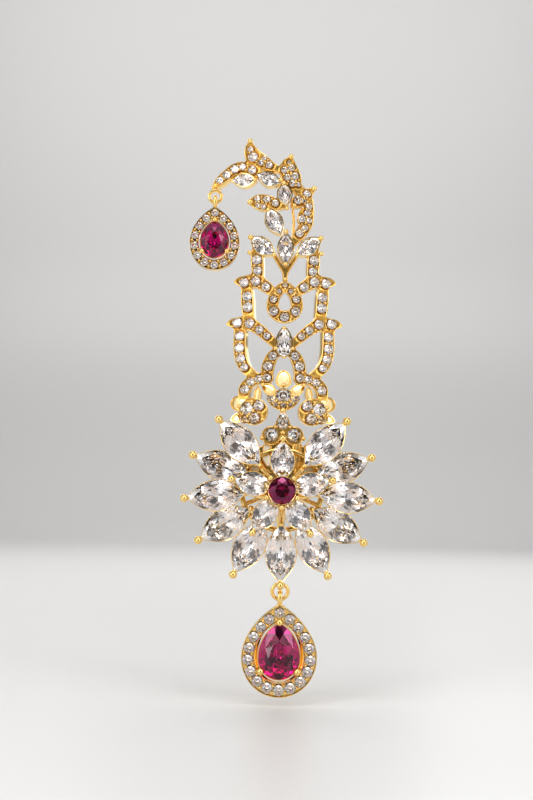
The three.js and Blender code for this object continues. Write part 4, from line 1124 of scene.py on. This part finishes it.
def halo(metal, drop, back, in_place):
    """The halo, with lips inside and outside, and the ledge under the main drop's stone."""
    front = -back
    lips = [(0.0, back), (0.04, front + 0.2), (0.05, front + 0.07), (0.12, front), (0.2, front),
            (0.27, front + 0.06), (0.3, front + 0.2), (0.34, front + 0.95)]
    rings = [ring_at(outline(drop["halo"], -inwards, 96), y) for inwards, y in lips]
    rings += [ring_at(outline(drop["hole"], inwards, 96), y) for inwards, y in reversed(lips)]
    metal.add(loft(rings, cyclic=True), in_place)
    if "ledge" in drop:
        hole, ledge = outline(drop["hole"], 0.15, 96), outline(drop["ledge"], 0, 96)
        rings = [ring_at(hole, back), ring_at(hole, -0.1), ring_at(ledge, 0.15), ring_at(ledge, back)]
        metal.add(loft(rings, cyclic=True), in_place)


def stone_seat(metal, drop, girdle, back, in_place):
    """The rail round the stone, its prongs and the arms that carry them."""
    rail = [(0.0, girdle + 0.3), (0.1, girdle + 0.12), (0.24, girdle + 0.12), (0.28, girdle + 0.4), (-0.6, back),
            (-1.1, back), (-0.2, girdle + 0.5)]
    metal.add(band(drop["stone"], rail, 72), in_place)
    for x, z in drop["prongs"]:
        prong = bead(drop["prong"], back - girdle - 0.1, sides=24)
        metal.add(prong, shifted(x, girdle - 0.2, z), in_place)
        reach = math.hypot(x, z)
        shares = ((reach - 0.9) / reach, 1, (reach + 1.6) / reach)
        metal.add(tube([(x * share, back - 0.4, z * share) for share in shares], 0.42, sides=10), in_place)


def bail(metal, drop):
    """The loop that hangs in the ring, drawn out at its top and bottom."""
    loop, (x, y, z) = drop["bail"], drop["ring"]
    radius, wire = loop["radius"], loop["wire"]
    points, faces = torus((0, 0, 0), radius, wire, "X", loop["width"] / (2 * wire))
    height = points[:, 2]
    points[:, 2] += np.sign(height) * np.abs(height / radius) ** 0.5 * (loop["tall"] - radius)
    metal.add((points, faces), shifted(x, y, z - loop["below"]))


def drop_pieces(drop, gold, clear, red):
    body, girdle, back = drop["body"], drop["girdle"], drop["depth"] / 2
    matrix = Matrix.Translation((drop["ring"][0], drop["ring"][1], drop["wide"]))
    metal, gems = Surface(), Surface()
    halo(metal, drop, back, placed(matrix))
    level, stones = drop["ring"][1] - back, halo_stones(drop)
    set_pave(gems, stones, level, bend=np.asarray)
    shared_beads(metal, stones, level, bend=np.asarray)
    stone_seat(metal, drop, girdle, back, placed(matrix))
    bail(metal, drop)
    metal.piece(body + "_metal", gold, body, "gold_metal", [body + "_setting"])
    gems.piece(body + "_pave", clear, body, "clear_stone", faceted=True)
    in_seat = placed(matrix @ Matrix.Translation((0, girdle, 0)))
    stone_piece(body + "_cut_ruby", body + "_ruby", drop["stone"], red, body, "red_stone", in_seat)


# ---- The pin --------------------------------------------------------------------------------------------
def block(low, high, edge=0.25):
    """A box with rounded edges."""
    made = bmesh.new()
    bmesh.ops.create_cube(made, size=1)
    size, middle = np.subtract(high, low), np.add(high, low) / 2
    for vertex in made.verts:
        vertex.co = Vector(np.array(vertex.co) * size + middle)
    bmesh.ops.bevel(made, geom=made.edges, offset=edge, segments=3, affect="EDGES", profile=0.5)
    points = [tuple(vertex.co) for vertex in made.verts]
    made.verts.index_update()
    faces = [tuple(vertex.index for vertex in face.verts) for face in made.faces]
    made.free()
    return points, faces


def pin(metal):
    """The guessed back pin: its foot on the plate, a block at its top and the tapered shank."""
    back, radius, bottom = BACK + PIN["gap"], PIN["radius"], PIN["bottom"]
    width, thick, tall = PIN["foot"]
    low, high = PIN["foot_z"] - tall / 2, PIN["foot_z"] + tall / 2
    metal.add(block((-width / 2, back, low), (width / 2, back + thick, high)))
    metal.add(block((-radius, back + 0.1, PIN["top"] - 2.2), (radius, radius, PIN["top"]), 0.3))
    shank = [(bottom, 0.05), (bottom + 0.3, PIN["tip"]), (bottom + 3, 0.62), (bottom + 9, radius), (0, radius),
             (PIN["top"], radius)]
    metal.add(tube([(0, 0, z) for z, _ in shank], [wide for _, wide in shank], sides=24))


# ---- Materials ------------------------------------------------------------------------------------------
NOISE_RANGE = (0.3, 0.7)  # the part of a noise's values that a ramp is spread over


class Look:
    """A material, whose noises lie in the object's own space."""

    def __init__(self, name):
        self.material = bpy.data.materials.new(name)
        self.material.use_nodes = True
        self.shader = self.material.node_tree.nodes["Principled BSDF"]

    def node(self, kind, **values):
        """A new node; an input's name is written with _ for each space."""
        made = self.material.node_tree.nodes.new("ShaderNode" + kind)
        for name, value in values.items():
            made.inputs[name.replace("_", " ")].default_value = value
        return made

    def link(self, source, node, name):
        self.material.node_tree.links.new(source, node.inputs[name])

    def noise(self, scale, detail=3.0):
        """Noise with that many features a metre."""
        space = self.node("TexCoord")
        texture = self.node("TexNoise", Scale=scale, Detail=detail)
        self.link(space.outputs["Object"], texture, "Vector")
        return texture.outputs["Fac"]

    def colours(self, source, low, high):
        node = self.node("ValToRGB")
        for element, position, colour in zip(node.color_ramp.elements, NOISE_RANGE, (low, high)):
            element.position, element.color = position, colour
        self.link(source, node, "Fac")
        return node.outputs["Color"]

    def roughness(self, source, low, high):
        start, end = NOISE_RANGE
        node = self.node("MapRange", From_Min=start, From_Max=end, To_Min=low, To_Max=high)
        self.link(source, node, "Value")
        self.link(node.outputs["Result"], self.shader, "Roughness")


def gold_material(name, low, high, roughness, metallic=1.0):
    look = Look(name)
    look.shader.inputs["Metallic"].default_value = metallic
    look.link(look.colours(look.noise(260), low, high), look.shader, "Base Color")
    look.roughness(look.noise(900), *roughness)
    bump = look.node("Bump", Strength=0.12, Distance=0.00005)
    look.link(look.noise(1500, 2), bump, "Height")
    look.link(bump.outputs["Normal"], look.shader, "Normal")
    return look.material


def stone_material(name, ior, gloss):
    """A clear crown over facets that throw the light back. Both are coloured by the mesh's tone attribute, which
    holds painted reflections for the mirror facets and the stone's own colour for the crown.
    """
    look = Look(name)
    inputs = look.shader.inputs
    tone = look.node("VertexColor")
    tone.layer_name = "tone"
    tint = look.node("Mix")
    tint.data_type, tint.blend_type = "RGBA", "MULTIPLY"
    tint.inputs["Factor"].default_value = 1.0
    cloud = look.colours(look.noise(420, 1), (0.93, 0.90, 0.89, 1), (1, 1, 1, 1))
    look.link(tone.outputs["Color"], tint, "A")
    look.link(cloud, tint, "B")
    # The tone attribute's painted reflections become the base colour, and its alpha becomes the mirror share.
    look.link(tint.outputs["Result"], look.shader, "Base Color")
    look.link(tone.outputs["Alpha"], look.shader, "Metallic")
    inputs["Transmission Weight"].default_value = 1.0
    inputs["IOR"].default_value = ior
    inputs["Coat Weight"].default_value = 1.0 if gloss > ior else 0.0
    inputs["Coat IOR"].default_value = gloss
    inputs["Coat Roughness"].default_value = 0.0
    look.roughness(look.noise(700, 1), 0.0, 0.012)
    return look.material


def stage_material():
    look = Look("pale_studio")
    tone = look.colours(look.noise(2.5, 0), (0.81, 0.80, 0.785, 1), (0.83, 0.82, 0.805, 1))
    look.link(tone, look.shader, "Base Color")
    look.roughness(look.noise(4, 0), 0.30, 0.33)
    return look.material


# ---- Stage, light and camera ----------------------------------------------------------------------------
def stage(material):
    """A pale floor that curves up into a backdrop."""
    floor_z, near, reach, bend_radius, height, half_width = -46.5, -700, 900, 260, 900, 1200
    profile = [(near, floor_z)]
    for turn in np.radians(np.arange(0, 91, 6)):
        y, z = reach - bend_radius * (1 - math.sin(turn)), floor_z + bend_radius * (1 - math.cos(turn))
        profile.append((y, z))
    profile.append((reach, floor_z + height))
    points = [(x * MM, y * MM, z * MM) for x in (-half_width, half_width) for y, z in profile]
    count = len(profile)
    faces = [(i, i + 1, i + 1 + count, i + count) for i in range(count - 1)]
    mesh = bpy.data.meshes.new("pale_floor")
    mesh.from_pydata(points, [], faces)
    mesh.polygons.foreach_set("use_smooth", [True] * len(mesh.polygons))
    mesh.materials.append(material)
    new_object("pale_floor", mesh)


SOFTBOXES = [  # name, azimuth from the front to the right, elevation, width, height, radiance
    ("inner_left", -25, 8, 100, 380, 0.55),
    ("inner_right", 26, 8, 100, 380, 0.5),
    ("inner_top", 0, 32, 300, 120, 0.65),
    ("left", -50, 10, 440, 460, 1.15),
    ("right", 52, 14, 430, 460, 1.05),
    ("top_left", -26, 52, 380, 320, 1.15),
    ("top_right", 32, 54, 360, 310, 1.05),
    ("strip_left", -36, 18, 90, 400, 4.2),
    ("strip_right", 39, 22, 75, 380, 4.0),
    ("strip_top", -4, 66, 420, 90, 4.2),
    ("far_left", -105, 12, 340, 440, 1.1),
    ("far_right", 108, 16, 340, 440, 1.0),
    ("above", 180, 74, 460, 300, 1.3),
    ("back_left", -150, 30, 380, 320, 1.3),
    ("back_right", 152, 24, 380, 320, 1.2),
]
LIGHT_AIM = Vector((0, -8, 15))
LIGHT_DISTANCE = 560


def panel(name, position, target, width, height, radiance):
    """A soft panel at a place, turned to its target, which only its light shows."""
    light = bpy.data.lights.new(name, "AREA")
    light.shape = "RECTANGLE"
    light.size, light.size_y = width * MM, height * MM
    light.energy = radiance * math.pi * light.size * light.size_y
    made = new_object(name, light)
    made.location = position * MM
    made.rotation_euler = (position - target).to_track_quat("Z", "Y").to_euler()
    made.visible_camera = False


def studio_light():
    for name, azimuth, elevation, width, height, radiance in SOFTBOXES:
        turn, lift = math.radians(azimuth), math.radians(elevation)
        away = Vector((math.sin(turn) * math.cos(lift), -math.cos(turn) * math.cos(lift), math.sin(lift)))
        panel(name, LIGHT_AIM + away * LIGHT_DISTANCE, LIGHT_AIM, width, height, radiance)
    panel("backdrop_wash", Vector((0, 380, 560)), Vector((0, 900, 160)), 760, 300, 2.4)
    world = bpy.data.worlds.new("studio")
    bpy.context.scene.world = world
    world.use_nodes = True
    world.node_tree.nodes["Background"].inputs["Color"].default_value = (0.80, 0.82, 0.85, 1)
    world.node_tree.nodes["Background"].inputs["Strength"].default_value = 0.15


def camera():
    """Level and a little below the middle, with the small shift that frames the whole jewel."""
    middle = Vector((-3.33, -8.0, 19.27))
    distance, eye_height, roll, seen_height = 300.0, 4.0, 0.95, 171.8
    made = new_object("camera", bpy.data.cameras.new("camera"))
    made.data.sensor_width, made.data.sensor_fit = 36, "AUTO"
    made.data.lens = 36 * distance / seen_height
    made.data.shift_y = (middle.z - eye_height) / seen_height
    made.data.clip_start, made.data.clip_end = 0.01, 10
    facing = Matrix.Rotation(math.radians(90), 4, "X") @ Matrix.Rotation(math.radians(roll), 4, "Z")
    made.matrix_world = Matrix.Translation(Vector((middle.x, middle.y - distance, eye_height)) * MM) @ facing
    bpy.context.scene.camera = made


# ---- The assembly ---------------------------------------------------------------------------------------
bpy.context.scene.view_settings.view_transform = "Standard"
camera()
stage(stage_material())
studio_light()

gold = gold_material("polished_gold", (0.91, 0.60, 0.18, 1), (0.98, 0.70, 0.27, 1), (0.05, 0.12))
# The rough matte finish is the metal's own. Its darker colour is painted shade for the sunk floors between the
# pave and the petals' grooves.
satin_and_shade = gold_material("satin_gold_and_painted_shade", (0.66, 0.36, 0.06, 1), (0.86, 0.53, 0.14, 1), (0.24, 0.36))
# The petals' paler gold is a painted highlight: a lit copy of the polished gold.
painted_highlight_gold = gold_material("gold_with_painted_highlight", (0.86, 0.64, 0.30, 1), (0.93, 0.73, 0.40, 1), (0.10, 0.2))
# The panes' pale colour is a painted reflection of a bright lamp. The material is only partly metallic, so the
# light colour shows wherever the pane lies.
pale = gold_material("pane_gold_with_painted_reflection", (0.94, 0.84, 0.64, 1), (1.0, 0.91, 0.74, 1), (0.28, 0.36), 0.3)
clear = stone_material("clear_stone", 1.42, 1.8)
red = stone_material("red_stone", 1.5, 1.5)

frame_metal, frame_bed, frame_panes, frame_leaves, frame_gems = [Surface() for _ in range(5)]
openwork_frame(frame_metal, frame_bed, frame_panes, frame_leaves, frame_gems)
frame_leaves.piece("openwork_leaves", painted_highlight_gold, "root", "gold_metal")
frame_panes.piece("openwork_panes", pale, "root", "gold_metal")
# The sunk floors and the petals' groove bands get the gold with painted shade.
frame_bed.piece("openwork_bed", satin_and_shade, "root", "gold_metal")
frame_metal.piece("openwork_metal", gold, "root", "gold_metal", ["openwork_frame"])
frame_gems.piece("openwork_pave", clear, "root", "clear_stone", faceted=True)

flower_metal = Surface()
flower_setting(flower_metal)
flower_metal.piece("flower_metal", gold, "root", "gold_metal", ["flower_setting"])

for node, spec, matrix in frame_stones():
    stone_piece("cut_" + node, node, spec, clear, "root", "clear_stone", placed(matrix), bent)
for node, matrix, *_ in outer_petals():
    stone_piece("cut_" + node, node, OUTER_STONE, clear, "root", "clear_stone", placed(matrix))
for node, matrix, _ in inner_petals():
    stone_piece("cut_" + node, node, INNER_STONE, clear, "root", "clear_stone", placed(matrix))
ruby_place = placed(on_flower(90, 0, RUBY_GIRDLE))
stone_piece("cut_ruby_round", "ruby_round", RUBY, red, "root", "red_stone", ruby_place)

drop_pieces(MAIN_DROP, gold, clear, red)
drop_pieces(CREST_DROP, gold, clear, red)

pin_metal = Surface()
pin(pin_metal)
pin_metal.piece("pin_metal", gold, "root", "gold_metal", ["back_pin"])
